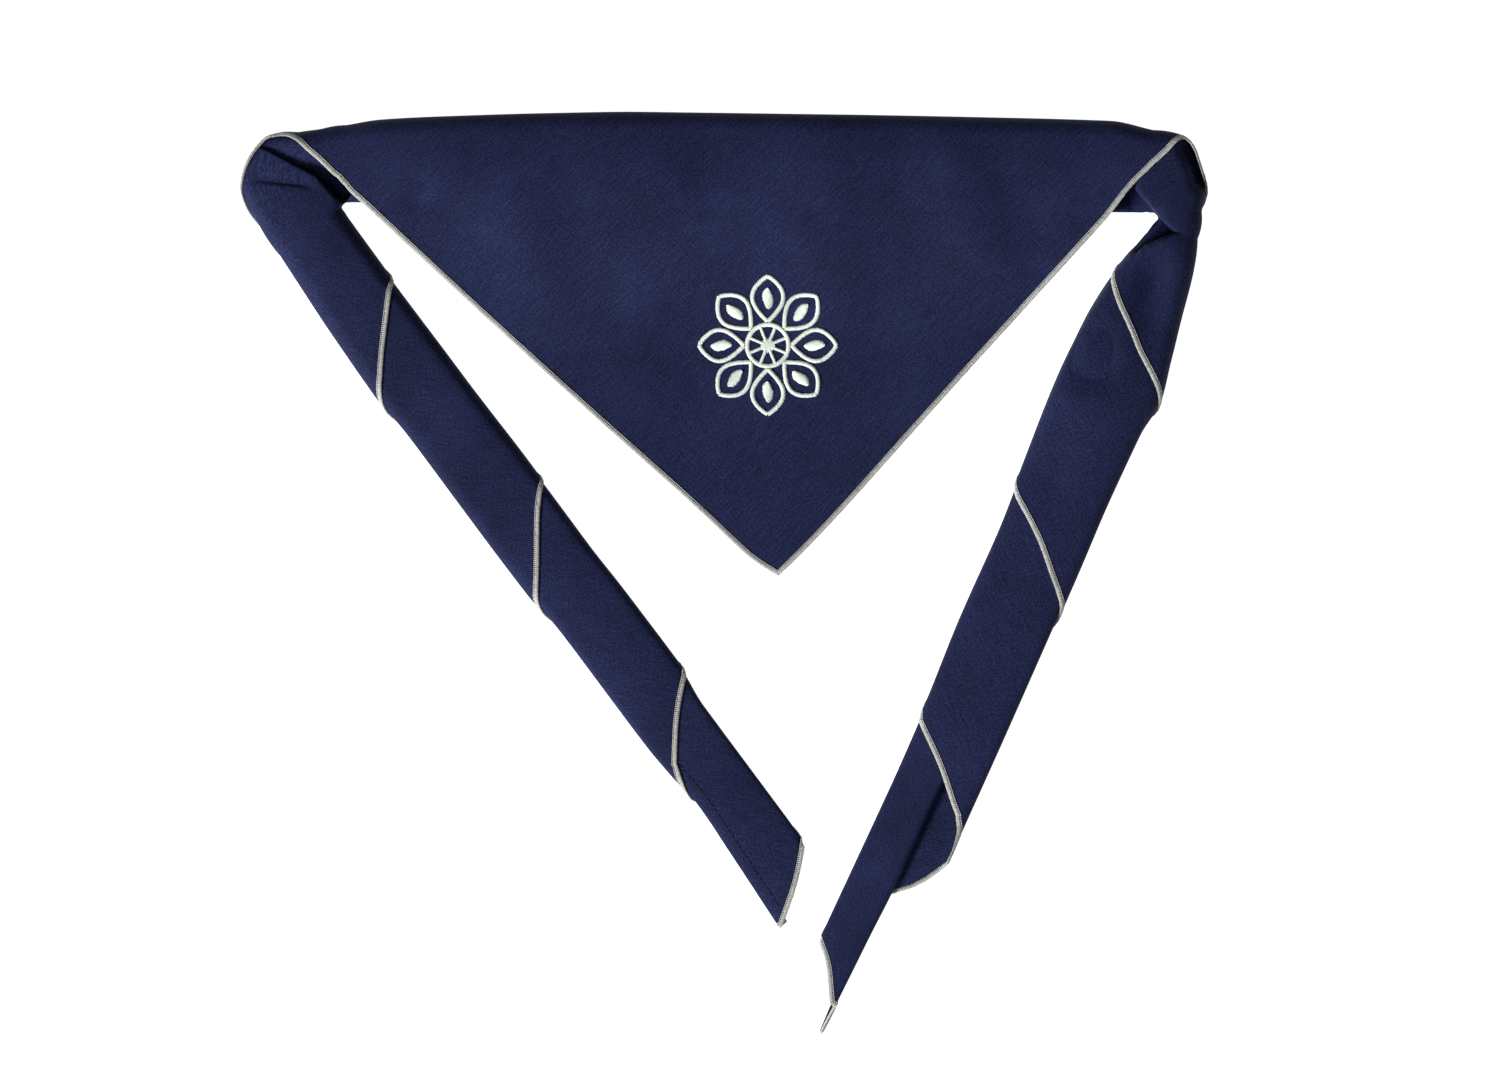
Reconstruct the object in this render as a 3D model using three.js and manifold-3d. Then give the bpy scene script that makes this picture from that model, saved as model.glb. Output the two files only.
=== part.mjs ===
// A triangular cotton neckerchief lying on a table. Its long side is rolled up into a flattened
// roll, the roll is bent down into a tail at each end, and the middle hangs free as a flap.
// Millimetres, +Z up, the cloth lying on z = 0, +Y away from the flap's point.
import * as THREE from "three";
import Module from "manifold-3d";

const { lerp, clamp, smoothstep } = THREE.MathUtils;
const wasm = await Module();
wasm.setup();

// Cloth and roll
const WALL = 1.0; // thickness of the cloth
const LAYER_GAP = 0.55; // air between two turns of the roll
const CORE_RADIUS = 1.2; // half height of the space inside the first turn
const TIP_CORE = 0.45; // share of it that is left at the tips
const ROLL_WIDTH = 40; // nominal width of the flattened roll
const CORNER_RADIUS = 2.25; // inside of each bend
const CREASE_FLOOR = 0.85; // a crease presses down only what is higher than this
const FLOOR_LIFT = 1.05; // the roll is held up by the edging under it

// Neck stretch, between the two bends
const NECK_SPAN = 387; // between the centres of the bends
const NECK_TILT = 5; // the right bend lies this much lower
const LEFT_BEND = 126.1; // degrees that the roll turns at the left corner
const RIGHT_BEND = 114.9; // and at the right one
const LEFT_TAIL = 398; // from the bend to the tip of the cloth
const RIGHT_TAIL = 404;
const THREAD_TAIL = 16; // the edging's threads run on this far past the right tip

// Flap
const FLAP_DROP = 169.8; // from the bends' centre line down to the point
const FLAP_SHIFT = 13.1; // the point lies this far right of the middle
const DRAPE_LENGTH = 80; // the flap comes down from the roll over this length

// Edging: an overlocked band round the two short sides
const EDGING_WIDTH = 3.6;
const EDGING_THICKNESS = 1.4; // more of it stands out of the roll than into it
const EDGING_INWARD = 0.15; // how far it reaches to the inside of the cloth's middle
const CUT_GAP = 0.16; // least air left round the cloth where the edging is cut clear of it
const EDGING_GAP = 0.45; // between the cloth's edge and the edging
const TIP_SHARE = 0.6; // of the width is left where the edging is pulled thin at the right tip
const THREAD_TAIL_WIDTH = 1.8;

// Embroidered rosette on the flap
const ROSETTE_RADIUS = 34;
const ROSETTE_RIGHT = 8.6; // its centre, from the middle of the neck stretch
const ROSETTE_DOWN = 63.5;
const PETALS = 8;
const PETAL_WIDTH = 17;
const PETAL_ROOT = 10.5; // radius at which the petals start
const LINE_WIDTH = 2.0; // width of a satin-stitched line
const RING_RADIUS = 9; // ring in the middle of the rosette
const EYE_RADIUS = 3.4; // solid disc inside the ring
const EMBROIDERY_THICKNESS = 0.8;
const EMBROIDERY_GAP = 0.3; // between the cloth and the embroidery

const PITCH = WALL + LAYER_GAP;
const HALF_SPAN = NECK_SPAN / 2;
const TURNS = 4; // whole turns in the roll behind the flap
const FIRST = 0.09; // where in the first turn the cloth begins
const LAST = TURNS + 0.5; // where the flap leaves the roll

// One turn of the flattened roll, as shares of the turn: outer round end, top, inner round end,
// underside, and the outer round end again.
const END_SHARE = 0.09;
const HALF_TURN = 0.5;
const TURN_STEPS = [
  ...[-0.09, -0.045, 0, 0.045, 0.09],
  ...[0.25, 0.41, 0.455, 0.5, 0.545, 0.59, 0.75],
];
const TURN_LINES = [FIRST, ...TURN_STEPS.slice(5)];
for (let whole = 1; whole < TURNS; whole++) {
  TURN_LINES.push(...TURN_STEPS.map((step) => whole + step));
}
TURN_LINES.push(...TURN_STEPS.slice(0, 6).map((step) => TURNS + step), TURNS + 0.38, LAST);

// Stations at which the cloth has a line of corners across the roll, on either side.
const NECK_STEPS = [0.3, 0.62, 0.9, 1];
const BEND_STEPS = 8;
const TAIL_STEPS = [0.03, 0.07, 0.13, 0.21, 0.33, 0.45, 0.57, 0.7, 0.84, 1];
const STATION_LINES = [0, ...NECK_STEPS];
for (let i = 1; i <= BEND_STEPS; i++) STATION_LINES.push(1 + i / BEND_STEPS);
STATION_LINES.push(...TAIL_STEPS.map((step) => 2 + step));

// Outer edge of the neck stretch: along as a share of NECK_SPAN, reach as a share of ROLL_WIDTH.
const NECK_OUTLINE = [
  { along: 0, reach: 0.985 },
  { along: 0.041, reach: 1.055 },
  { along: 0.15, reach: 1.12 },
  { along: 0.264, reach: 1.165 },
  { along: 0.364, reach: 1.19 },
  { along: 0.624, reach: 1.188 },
  { along: 0.81, reach: 1.176 },
  { along: 0.9465, reach: 1.16 },
  { along: 1, reach: 1.07 },
];

// Outer edge round each bend: turned as a share of the bend, reach as a share of ROLL_WIDTH.
const LEFT_BEND_OUTLINE = [
  { turned: 0, reach: 0.985 },
  { turned: 0.246, reach: 1.055 },
  { turned: 0.33, reach: 1.2 },
  { turned: 0.405, reach: 1.295 },
  { turned: 0.53, reach: 1.32 },
  { turned: 0.627, reach: 1.3 },
  { turned: 0.7, reach: 1.22 },
  { turned: 0.793, reach: 1.1 },
  { turned: 0.912, reach: 1.03 },
  { turned: 1, reach: 1.0 },
];
const RIGHT_BEND_OUTLINE = [
  { turned: 0, reach: 1.07 },
  { turned: 0.148, reach: 1.085 },
  { turned: 0.218, reach: 1.045 },
  { turned: 0.279, reach: 0.963 },
  { turned: 0.331, reach: 0.888 },
  { turned: 0.397, reach: 0.82 },
  { turned: 0.556, reach: 0.717 },
  { turned: 0.639, reach: 0.645 },
  { turned: 0.74, reach: 0.6 },
  { turned: 1, reach: 0.6 },
];

// Edges of each tail: along as a share of the tail, inner, outer and core as shares of ROLL_WIDTH.
// Core is the outer edge of the first turn, which is narrower where the last turn has come loose.
const LEFT_TAIL_OUTLINE = [
  { along: 0, inner: 0.056, outer: 1.0, core: 1.0 },
  { along: 0.04, inner: 0.06, outer: 1.02, core: 1.02 },
  { along: 0.11, inner: 0.062, outer: 1.05, core: 1.05 },
  { along: 0.22, inner: 0.055, outer: 1.065, core: 1.065 },
  { along: 0.264, inner: 0.052, outer: 1.037, core: 1.037 },
  { along: 0.38, inner: 0.03, outer: 1.02, core: 1.02 },
  { along: 0.5, inner: 0.03, outer: 0.993, core: 0.993 },
  { along: 0.57, inner: 0.01, outer: 0.945, core: 0.945 },
  { along: 0.68, inner: 0, outer: 0.925, core: 0.925 },
  { along: 0.74, inner: 0.055, outer: 0.91, core: 0.91 },
  { along: 0.84, inner: 0.055, outer: 0.84, core: 0.84 },
  { along: 0.9, inner: 0.055, outer: 0.86, core: 0.86 },
  { along: 1, inner: 0.055, outer: 0.9, core: 0.9 },
];
const RIGHT_TAIL_OUTLINE = [
  { along: 0, inner: 0.056, outer: 0.6, core: 0.6 },
  { along: 0.0155, inner: 0.01, outer: 0.66, core: 0.66 },
  { along: 0.046, inner: -0.08, outer: 0.74, core: 0.74 },
  { along: 0.0965, inner: -0.2, outer: 0.83, core: 0.83 },
  { along: 0.144, inner: -0.245, outer: 0.92, core: 0.92 },
  { along: 0.205, inner: -0.2525, outer: 1.02, core: 1.0 },
  { along: 0.24, inner: -0.24, outer: 0.975, core: 0.96 },
  { along: 0.325, inner: -0.18, outer: 0.968, core: 0.92 },
  { along: 0.42, inner: -0.11, outer: 0.99, core: 0.86 },
  { along: 0.52, inner: -0.09, outer: 1.005, core: 0.76 },
  { along: 0.645, inner: -0.02, outer: 1.02, core: 0.64 },
  { along: 0.75, inner: 0.01, outer: 1.025, core: 0.59 },
  { along: 0.84, inner: 0.015, outer: 1.035, core: 0.59 },
  { along: 0.92, inner: 0.02, outer: 0.56, core: 0.56 },
  { along: 1, inner: 0.03, outer: 0.53, core: 0.53 },
];

// Where the sewn edge crosses the roll: turn counts turns of the roll, and station is 0 at the
// middle of the neck, 1 to 2 round the bend and 2 to 3 down the tail.
const LEFT_HEM = [
  { turn: FIRST, station: 3 },
  { turn: 0.25, station: 2.961 },
  { turn: 0.5, station: 2.917 },
  { turn: 1, station: 2.797 },
  { turn: 1.09, station: 2.772 },
  { turn: 1.41, station: 2.691 },
  { turn: 1.5, station: 2.676 },
  { turn: 2, station: 2.52 },
  { turn: 2.09, station: 2.497 },
  { turn: 2.41, station: 2.406 },
  { turn: 2.5, station: 2.392 },
  { turn: 3, station: 2.2136 },
  { turn: 3.09, station: 2.1827 },
  { turn: 3.41, station: 2.1065 },
  { turn: 3.5, station: 2.088 },
  { turn: 3.91, station: 1.82 },
  { turn: 3.97, station: 1.74 },
  { turn: 4, station: 1.6 },
  { turn: 4.008, station: 1.36 },
  { turn: 4.025, station: 1.29 },
  { turn: 4.06, station: 1.25 },
  { turn: 4.126, station: 1.197 },
  { turn: 4.307, station: 1.09 },
  { turn: 4.426, station: 0.975 },
  { turn: LAST, station: 0.9315 },
];
const RIGHT_HEM = [
  { turn: FIRST, station: 3 },
  { turn: 0.25, station: 2.962 },
  { turn: 0.5, station: 2.923 },
  { turn: 0.762, station: 2.853 },
  { turn: 0.837, station: 2.829 },
  { turn: 0.895, station: 2.802 },
  { turn: 1, station: 2.757 },
  { turn: 1.09, station: 2.7376 },
  { turn: 1.25, station: 2.6918 },
  { turn: 1.5, station: 2.631 },
  { turn: 2, station: 2.463 },
  { turn: 2.09, station: 2.4423 },
  { turn: 2.25, station: 2.398 },
  { turn: 2.5, station: 2.3416 },
  { turn: 3, station: 2.19 },
  { turn: 3.09, station: 2.1634 },
  { turn: 3.25, station: 2.1245 },
  { turn: 3.5, station: 2.062 },
  { turn: 3.91, station: 1.66 },
  { turn: 3.97, station: 1.58 },
  { turn: 4, station: 1.48 },
  { turn: 4.01, station: 1.15 },
  { turn: 4.025, station: 1.103 },
  { turn: 4.062, station: 1.055 },
  { turn: 4.09, station: 1.0 },
  { turn: 4.2, station: 0.958 },
  { turn: 4.32, station: 0.917 },
  { turn: LAST, station: 0.8585 },
];

// Creases pressed into the roll at the bends: station along the roll, spread in stations,
// and depth as the share of the height that is lost.
const LEFT_CREASES = [
  { station: 1.42, spread: 0.16, depth: 0.2 },
  { station: 1.8, spread: 0.12, depth: 0.08 },
];
const RIGHT_CREASES = [
  { station: 1.55, spread: 0.2, depth: 0.2 },
  { station: 2.16, spread: 0.08, depth: 0.1 },
];

// Soft folds in the flap: across from the middle as a share of HALF_SPAN, down as a share of
// FLAP_DROP, length and width as shares of FLAP_DROP, lift in millimetres, lean in degrees.
const FLAP_FOLDS = [
  { across: -0.55, down: 0.02, length: 0.34, width: 0.16, lift: 1.6, lean: 12 },
  { across: -0.22, down: 0.08, length: 0.4, width: 0.14, lift: 1.2, lean: -8 },
  { across: 0.2, down: 0.06, length: 0.36, width: 0.15, lift: 1.3, lean: 14 },
  { across: 0.56, down: 0.04, length: 0.34, width: 0.17, lift: 1.8, lean: 24 },
  { across: -0.3, down: 0.42, length: 0.3, width: 0.14, lift: 0.9, lean: 42 },
  { across: 0.4, down: 0.38, length: 0.28, width: 0.15, lift: 1.0, lean: -38 },
];

const SIDES = {
  left: {
    mirror: -1,
    centreY: NECK_TILT / 2,
    bend: THREE.MathUtils.degToRad(LEFT_BEND),
    tail: LEFT_TAIL,
    bendOutline: LEFT_BEND_OUTLINE,
    tailOutline: LEFT_TAIL_OUTLINE,
    hem: LEFT_HEM,
    creases: LEFT_CREASES,
    hemBow: 1.7,
  },
  right: {
    mirror: 1,
    centreY: -NECK_TILT / 2,
    bend: THREE.MathUtils.degToRad(RIGHT_BEND),
    tail: RIGHT_TAIL,
    bendOutline: RIGHT_BEND_OUTLINE,
    tailOutline: RIGHT_TAIL_OUTLINE,
    hem: RIGHT_HEM,
    creases: RIGHT_CREASES,
    hemBow: 0,
  },
};

// Reads column of a table at a value of its key column, along a curve without overshoot.
function curve(rows, key, column, at) {
  const last = rows.length - 1;
  const rising = rows[last][key] > rows[0][key] ? 1 : -1;
  const x = (i) => rows[i][key] * rising;
  const y = (i) => rows[i][column];
  const target = clamp(at * rising, x(0), x(last));
  let i = 0;
  while (i < last - 1 && target > x(i + 1)) i++;
  const slope = (j) => (y(j + 1) - y(j)) / (x(j + 1) - x(j));
  const tangent = (j) => {
    if (j === 0) return slope(0);
    if (j === last) return slope(last - 1);
    const a = slope(j - 1);
    const b = slope(j);
    return a * b <= 0 ? 0 : (2 * a * b) / (a + b);
  };
  const h = x(i + 1) - x(i);
  const s = (target - x(i)) / h;
  const c1 = h * tangent(i);
  const c2 = h * tangent(i + 1);
  const rise = y(i + 1) - y(i);
  return y(i) + s * (c1 + s * (3 * rise - 2 * c1 - c2 + s * (c1 + c2 - 2 * rise)));
}

// Turns of cloth in the roll at a station, and the station where a turn's edge lies.
const turnsAt = (side, station) => curve(side.hem, "station", "turn", station);
const hemStation = (side, turn) => curve(side.hem, "turn", "station", turn);

// The line across the roll at a station: its origin, its outward direction and its edges.
function sectionAt(side, station) {
  const centre = new THREE.Vector2(side.mirror * HALF_SPAN, side.centreY);
  if (station <= 1) {
    const share = station * side.mirror;
    const reach = curve(NECK_OUTLINE, "along", "reach", (1 + share) / 2);
    centre.set(share * HALF_SPAN, (-share * NECK_TILT) / 2);
    const far = reach * ROLL_WIDTH;
    return { centre, out: new THREE.Vector2(0, 1), near: CORNER_RADIUS, far, core: far };
  }
  const turned = Math.min(station - 1, 1);
  const angle = turned * side.bend;
  const out = new THREE.Vector2(side.mirror * Math.sin(angle), Math.cos(angle));
  if (station <= 2) {
    const far = ROLL_WIDTH * curve(side.bendOutline, "turned", "reach", turned);
    return { centre, out, near: CORNER_RADIUS, far, core: far };
  }
  const along = station - 2;
  const column = (name) => ROLL_WIDTH * curve(side.tailOutline, "along", name, along);
  centre.x += side.mirror * Math.cos(angle) * side.tail * along;
  centre.y -= Math.sin(angle) * side.tail * along;
  return { centre, out, near: column("inner"), far: column("outer"), core: column("core") };
}

// The share of its height that the roll loses to creases at a station.
function creaseAt(side, station, across) {
  let lost = 0;
  for (const { station: at, spread, depth } of side.creases) {
    lost += depth * Math.exp(-(((station - at) / spread) ** 2)) * (1 - 0.5 * across);
  }
  return lost;
}

// The rise of the flap's soft folds at a place on it.
function foldRise(x, y) {
  let rise = 0;
  for (const { across, down, length, width, lift, lean } of FLAP_FOLDS) {
    const dx = (x - across * HALF_SPAN) / FLAP_DROP;
    const dy = (y + down * FLAP_DROP) / FLAP_DROP;
    const turn = THREE.MathUtils.degToRad(lean);
    const acrossFold = (dx * Math.cos(turn) + dy * Math.sin(turn)) / width;
    const alongFold = (dy * Math.cos(turn) - dx * Math.sin(turn)) / length;
    const left = Math.max(0, 1 - acrossFold ** 2 - alongFold ** 2);
    rise += lift * left * left;
  }
  return rise;
}

// Radius of the roll's core, which closes towards the tip of the tail.
function coreAt(side, station) {
  const open = hemStation(side, 2);
  return CORE_RADIUS * lerp(1, TIP_CORE, smoothstep(station, open, 3));
}

// Height of the roll's centre line at a station.
function centreHeight(side, station, core) {
  const turns = Math.min(turnsAt(side, station), TURNS - 0.25);
  return FLOOR_LIFT + WALL / 2 + core + PITCH * turns;
}

// A corner of the roll's faceted surface: turn along the spiral, station along the roll.
function rollCorner(side, turn, station) {
  const section = sectionAt(side, station);
  const core = coreAt(side, station);
  const full = core + PITCH * Math.min(turnsAt(side, station), TURNS);
  const loose = smoothstep(turn, HALF_TURN, 0.85);
  const farEnd = lerp(section.core, section.far, loose) - full;
  const nearEnd = section.near + full;
  const radius = core + PITCH * Math.min(turn, TURNS + HALF_TURN / 2);
  const phase = turn - Math.round(turn);
  const flat = (share) => (Math.abs(share) - END_SHARE) / (HALF_TURN - 2 * END_SHARE);
  let t;
  let height;
  if (Math.abs(phase) <= END_SHARE) {
    const angle = (phase / END_SHARE) * (Math.PI / 2);
    t = farEnd + radius * Math.cos(angle);
    height = radius * Math.sin(angle);
  } else if (turn > TURNS) {
    const share = (turn - TURNS - END_SHARE) / (HALF_TURN - END_SHARE);
    t = lerp(farEnd, section.near, share);
    height = radius;
  } else if (HALF_TURN - Math.abs(phase) >= END_SHARE) {
    t = lerp(farEnd, nearEnd, flat(phase));
    height = radius * Math.sign(phase);
  } else {
    const signed = phase > 0 ? HALF_TURN - phase : -HALF_TURN - phase;
    const angle = (signed / END_SHARE) * (Math.PI / 2);
    t = nearEnd - radius * Math.cos(angle);
    height = radius * Math.sin(angle);
  }
  const x = section.centre.x + section.out.x * t;
  const y = section.centre.y + section.out.y * t;
  let z = centreHeight(side, station, core) + height;
  if (turn > TURNS + END_SHARE) z = drapeHeight(z, nearEnd - t, x, y);
  const across = clamp((t - section.near) / (section.far - section.near), 0, 1);
  z -= (z - CREASE_FLOOR) * creaseAt(side, station, across);
  return new THREE.Vector3(x, y, z);
}

// The two lines that a value lies between, and its share of the way from one to the other.
function between(lines, value) {
  let i = 0;
  while (i < lines.length - 2 && value >= lines[i + 1]) i++;
  return [lines[i], lines[i + 1], (value - lines[i]) / (lines[i + 1] - lines[i])];
}

// A point of the cloth in the roll, on the flat facets between the corners.
function rollPoint(side, turn, station) {
  const [turnA, turnB, shareB] = between(TURN_LINES, turn);
  const [stationA, stationB, shareS] = between(STATION_LINES, station);
  const near = rollCorner(side, turnA, stationA).lerp(rollCorner(side, turnB, stationA), shareB);
  const far = rollCorner(side, turnA, stationB).lerp(rollCorner(side, turnB, stationB), shareB);
  return near.lerp(far, shareS);
}

// Height of the flap at a distance past the roll's inner round end, where it was at height top.
function drapeHeight(top, past, x, y) {
  const down = smoothstep(past, 0, DRAPE_LENGTH);
  return lerp(top, WALL / 2, down) + foldRise(x, y);
}

const POINT = new THREE.Vector2(FLAP_SHIFT, -FLAP_DROP);
const bendLineY = (x) => (-x / HALF_SPAN) * (NECK_TILT / 2);

// The sewn edge of the flap below the roll, for a share of the way to the point.
function flapHem(side, share) {
  const start = side.mirror * HALF_SPAN * hemStation(side, LAST);
  const bow = side.hemBow * Math.sin(Math.PI * share);
  return lerp(start, POINT.x, share) + side.mirror * bow;
}

// A point of the flap below the roll. Share runs from the roll's inner edge to the point.
function flapPoint(x, share) {
  const side = x < 0 ? SIDES.left : SIDES.right;
  const station = Math.min(Math.abs(x) / HALF_SPAN, 1);
  const y = lerp(bendLineY(x) + CORNER_RADIUS, POINT.y, share);
  const section = sectionAt(side, station);
  const core = CORE_RADIUS;
  const full = core + PITCH * TURNS;
  const top = centreHeight(side, station, core) + core + PITCH * (TURNS + HALF_TURN / 2);
  const z = drapeHeight(top, section.near + full - (y - bendLineY(x)), x, y);
  return new THREE.Vector3(x, y, z);
}

// The flap has more lines of corners than the roll under it.
const FLAP_ROWS = 11;
const LEAST_STEP = 0.012; // of a station, so that no sliver is left beside the edge
const LEAST_FLAP_STEP = 5; // millimetres from the flap's edge to its next corner

const bothWays = (stations) => [...stations.slice(1).map((s) => -s).reverse(), ...stations];
const ROLL_STATIONS = bothWays(STATION_LINES);
const FLAP_STATIONS = bothWays(
  STATION_LINES.flatMap((s, i) => (i > 0 && s < 1 ? [(s + STATION_LINES[i - 1]) / 2, s] : [s])),
);

const edgeCorner = (side, turn, station) => ({
  station: side.mirror * station,
  point: rollPoint(side, turn, station),
  turn,
  side,
});

// One line of corners along the roll, from the left edge to the right one.
function rollRow(turn) {
  const left = -hemStation(SIDES.left, turn);
  const right = hemStation(SIDES.right, turn);
  const stations = turn > TURNS ? FLAP_STATIONS : ROLL_STATIONS;
  const kept = stations.filter((s) => s > left + LEAST_STEP && s < right - LEAST_STEP);
  return [left, ...kept, right].map((station) => {
    const side = station < 0 ? SIDES.left : SIDES.right;
    return edgeCorner(side, turn, Math.abs(station));
  });
}

// Corners of the sewn edge between the ends of two lines, where the edge runs along the roll.
function hemCorners(a, b) {
  if (b.turn === undefined) return [];
  const from = Math.abs(a.station) - LEAST_STEP;
  const to = Math.abs(b.station) + LEAST_STEP;
  const crossed = STATION_LINES.filter((station) => station < from && station > to);
  return crossed.reverse().map((s) => edgeCorner(a.side, turnsAt(a.side, s), s));
}

// One line of corners across the flap.
function flapRow(share) {
  const left = flapHem(SIDES.left, share);
  const right = flapHem(SIDES.right, share);
  if (right - left < WALL) return [flapCorner((left + right) / 2, share)];
  const inner = FLAP_STATIONS.map((s) => s * HALF_SPAN).filter(
    (x) => x > left + LEAST_FLAP_STEP && x < right - LEAST_FLAP_STEP,
  );
  return [left, ...inner, right].map((x) => flapCorner(x, share));
}

const flapCorner = (x, share) => ({
  station: x / HALF_SPAN,
  point: flapPoint(x, share),
  share,
});

// All lines of corners, each with the corners of the sewn edge between it and the line before.
function clothRows() {
  const rows = TURN_LINES.map(rollRow);
  for (let i = 1; i <= FLAP_ROWS; i++) rows.push(flapRow(i / FLAP_ROWS));
  rows.forEach((row, i) => {
    const before = rows[Math.max(i - 1, 0)];
    row.left = i ? hemCorners(before[0], row[0]) : [];
    row.right = i ? hemCorners(before[before.length - 1], row[row.length - 1]).reverse() : [];
  });
  return rows;
}

// Joins lines of corners, which may have different numbers of them, into triangles.
function zipRows(rows) {
  const corners = [];
  for (const row of rows) {
    for (const corner of [...row.left, ...row, ...row.right]) {
      corner.index = corners.length;
      corners.push(corner);
    }
  }
  const triangles = [];
  for (let r = 0; r + 1 < rows.length; r++) {
    const a = rows[r];
    const b = [...rows[r + 1].left, ...rows[r + 1], ...rows[r + 1].right];
    let i = 0;
    let j = 0;
    while (i + 1 < a.length || j + 1 < b.length) {
      const nextA = i + 1 < a.length ? a[i + 1].station + a[i].station : Infinity;
      const nextB = j + 1 < b.length ? b[j + 1].station + b[j].station : Infinity;
      if (nextA <= nextB) triangles.push([a[i].index, b[j].index, a[++i].index]);
      else triangles.push([a[i].index, b[j].index, b[++j].index]);
    }
  }
  return { corners, triangles };
}

// The average direction that the triangles round each corner face.
function cornerNormals({ corners, triangles }) {
  const normals = corners.map(() => new THREE.Vector3());
  const face = new THREE.Vector3();
  const edge = new THREE.Vector3();
  for (const t of triangles) {
    const [p, q, r] = t.map((i) => corners[i].point);
    face.subVectors(q, p).cross(edge.subVectors(r, p));
    for (const i of t) normals[i].add(face);
  }
  return normals.map((n) => n.normalize());
}

// A closed solid from a surface: the surface moved out by half a wall each way, and its rim.
function thicken(surface, normals, wall) {
  const { corners, triangles } = surface;
  const count = corners.length;
  const positions = [];
  for (const way of [0.5, -0.5]) {
    for (const { point, index } of corners) {
      positions.push(...point.clone().addScaledVector(normals[index], way * wall));
    }
  }
  const faces = [];
  const open = new Map();
  for (const [a, b, c] of triangles) {
    faces.push(a, b, c, count + a, count + c, count + b);
    for (const [from, to] of [[a, b], [b, c], [c, a]]) {
      if (!open.delete(`${to} ${from}`)) open.set(`${from} ${to}`, [from, to]);
    }
  }
  for (const [from, to] of open.values()) {
    faces.push(from, count + from, to, to, count + from, count + to);
  }
  return geometryOf(positions, faces);
}

function geometryOf(positions, faces) {
  const geometry = new THREE.BufferGeometry();
  geometry.setAttribute("position", new THREE.Float32BufferAttribute(positions, 3));
  geometry.setIndex(faces);
  return geometry;
}

const MOST_STRETCH = 1.42; // of the edging's width at a corner, where its two sides meet

// The points of the edging's section, as shares of its width and of its thickness.
const EDGING_SECTION = [
  { out: 0, up: 1 },
  { out: 0.55, up: 1 },
  { out: 1, up: 0.8 },
  { out: 1, up: 0.15 },
  { out: 0.55, up: 0 },
  { out: 0, up: 0 },
];

// A place on the cloth, or on its continuation past its edge.
function clothPoint(corner, along, across) {
  if (corner.share === undefined) {
    return rollPoint(corner.side, corner.turn + along, Math.abs(corner.station) + across);
  }
  return flapPoint(corner.station * HALF_SPAN + across, corner.share + along);
}

// The point of the continued cloth at a distance out from its edge, and the way the cloth faces.
function beyondEdge(corner, tangent, distance, stretch) {
  const step = 1e-3;
  const here = { along: 0, across: 0 };
  const frame = () => {
    const p = clothPoint(corner, here.along, here.across);
    const da = clothPoint(corner, here.along + step, here.across).sub(p).divideScalar(step);
    const dc = clothPoint(corner, here.along, here.across + step).sub(p).divideScalar(step);
    const normal = new THREE.Vector3().crossVectors(da, dc).normalize();
    return { p, da, dc, normal };
  };
  const hops = 4;
  let f = frame();
  const facing = f.normal.dot(corner.normal) < 0 ? -1 : 1;
  for (let i = 0; i < hops; i++) {
    const out = new THREE.Vector3().crossVectors(tangent, f.normal.multiplyScalar(facing));
    out.normalize().multiplyScalar((distance * stretch) / hops);
    const aa = f.da.dot(f.da);
    const ac = f.da.dot(f.dc);
    const cc = f.dc.dot(f.dc);
    const ao = f.da.dot(out);
    const co = f.dc.dot(out);
    const det = aa * cc - ac * ac;
    here.along += (ao * cc - co * ac) / det;
    here.across += (co * aa - ao * ac) / det;
    f = frame();
  }
  return { point: f.p, normal: f.normal.multiplyScalar(facing) };
}

// The band sewn round the two short sides, from the left tip over the flap's point to the right.
function edgingGeometry(rows, surface, normals) {
  const left = rows.flatMap((row) => [...row.left, row[0]]);
  const right = rows.flatMap((row) => [...row.right].reverse().concat(row[row.length - 1]));
  const path = [...left, ...right.slice(0, -1).reverse()];
  for (const corner of path) corner.normal = normals[corner.index];
  const positions = [];
  path.forEach((corner, i) => {
    const before = path[Math.max(i - 1, 0)].point;
    const after = path[Math.min(i + 1, path.length - 1)].point;
    const come = corner.point.clone().sub(before).normalize();
    const go = after.clone().sub(corner.point).normalize();
    const tangent = come.clone().add(go).normalize();
    const stretch = Math.min(1 / tangent.dot(go.lengthSq() ? go : come), MOST_STRETCH);
    const narrowed = lerp(TIP_SHARE, 1, smoothstep(corner.turn ?? 1, FIRST, HALF_TURN));
    const width = EDGING_WIDTH * (corner.side === SIDES.right ? narrowed : 1);
    for (const { out, up } of EDGING_SECTION) {
      const distance = EDGING_GAP + out * width;
      const { point, normal } = beyondEdge(corner, tangent, distance, stretch);
      const facing = out > 0 ? normal : corner.normal;
      positions.push(...point.addScaledVector(facing, up * EDGING_THICKNESS - EDGING_INWARD));
    }
  });
  // The edging's threads run on past the right tip as a thin tail.
  const side = SIDES.right;
  const end = 3 + THREAD_TAIL / RIGHT_TAIL;
  const tip = rollPoint(side, FIRST, end);
  const inward = rollPoint(side, FIRST, 3).sub(rollPoint(side, FIRST + END_SHARE, 3)).normalize();
  for (const { out, up } of EDGING_SECTION) {
    const point = tip.clone().addScaledVector(inward, -out * THREAD_TAIL_WIDTH);
    point.z += up * EDGING_THICKNESS - EDGING_INWARD;
    positions.push(...point);
  }
  return tubeOf(positions, EDGING_SECTION.length, path.length + 1);
}

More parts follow.
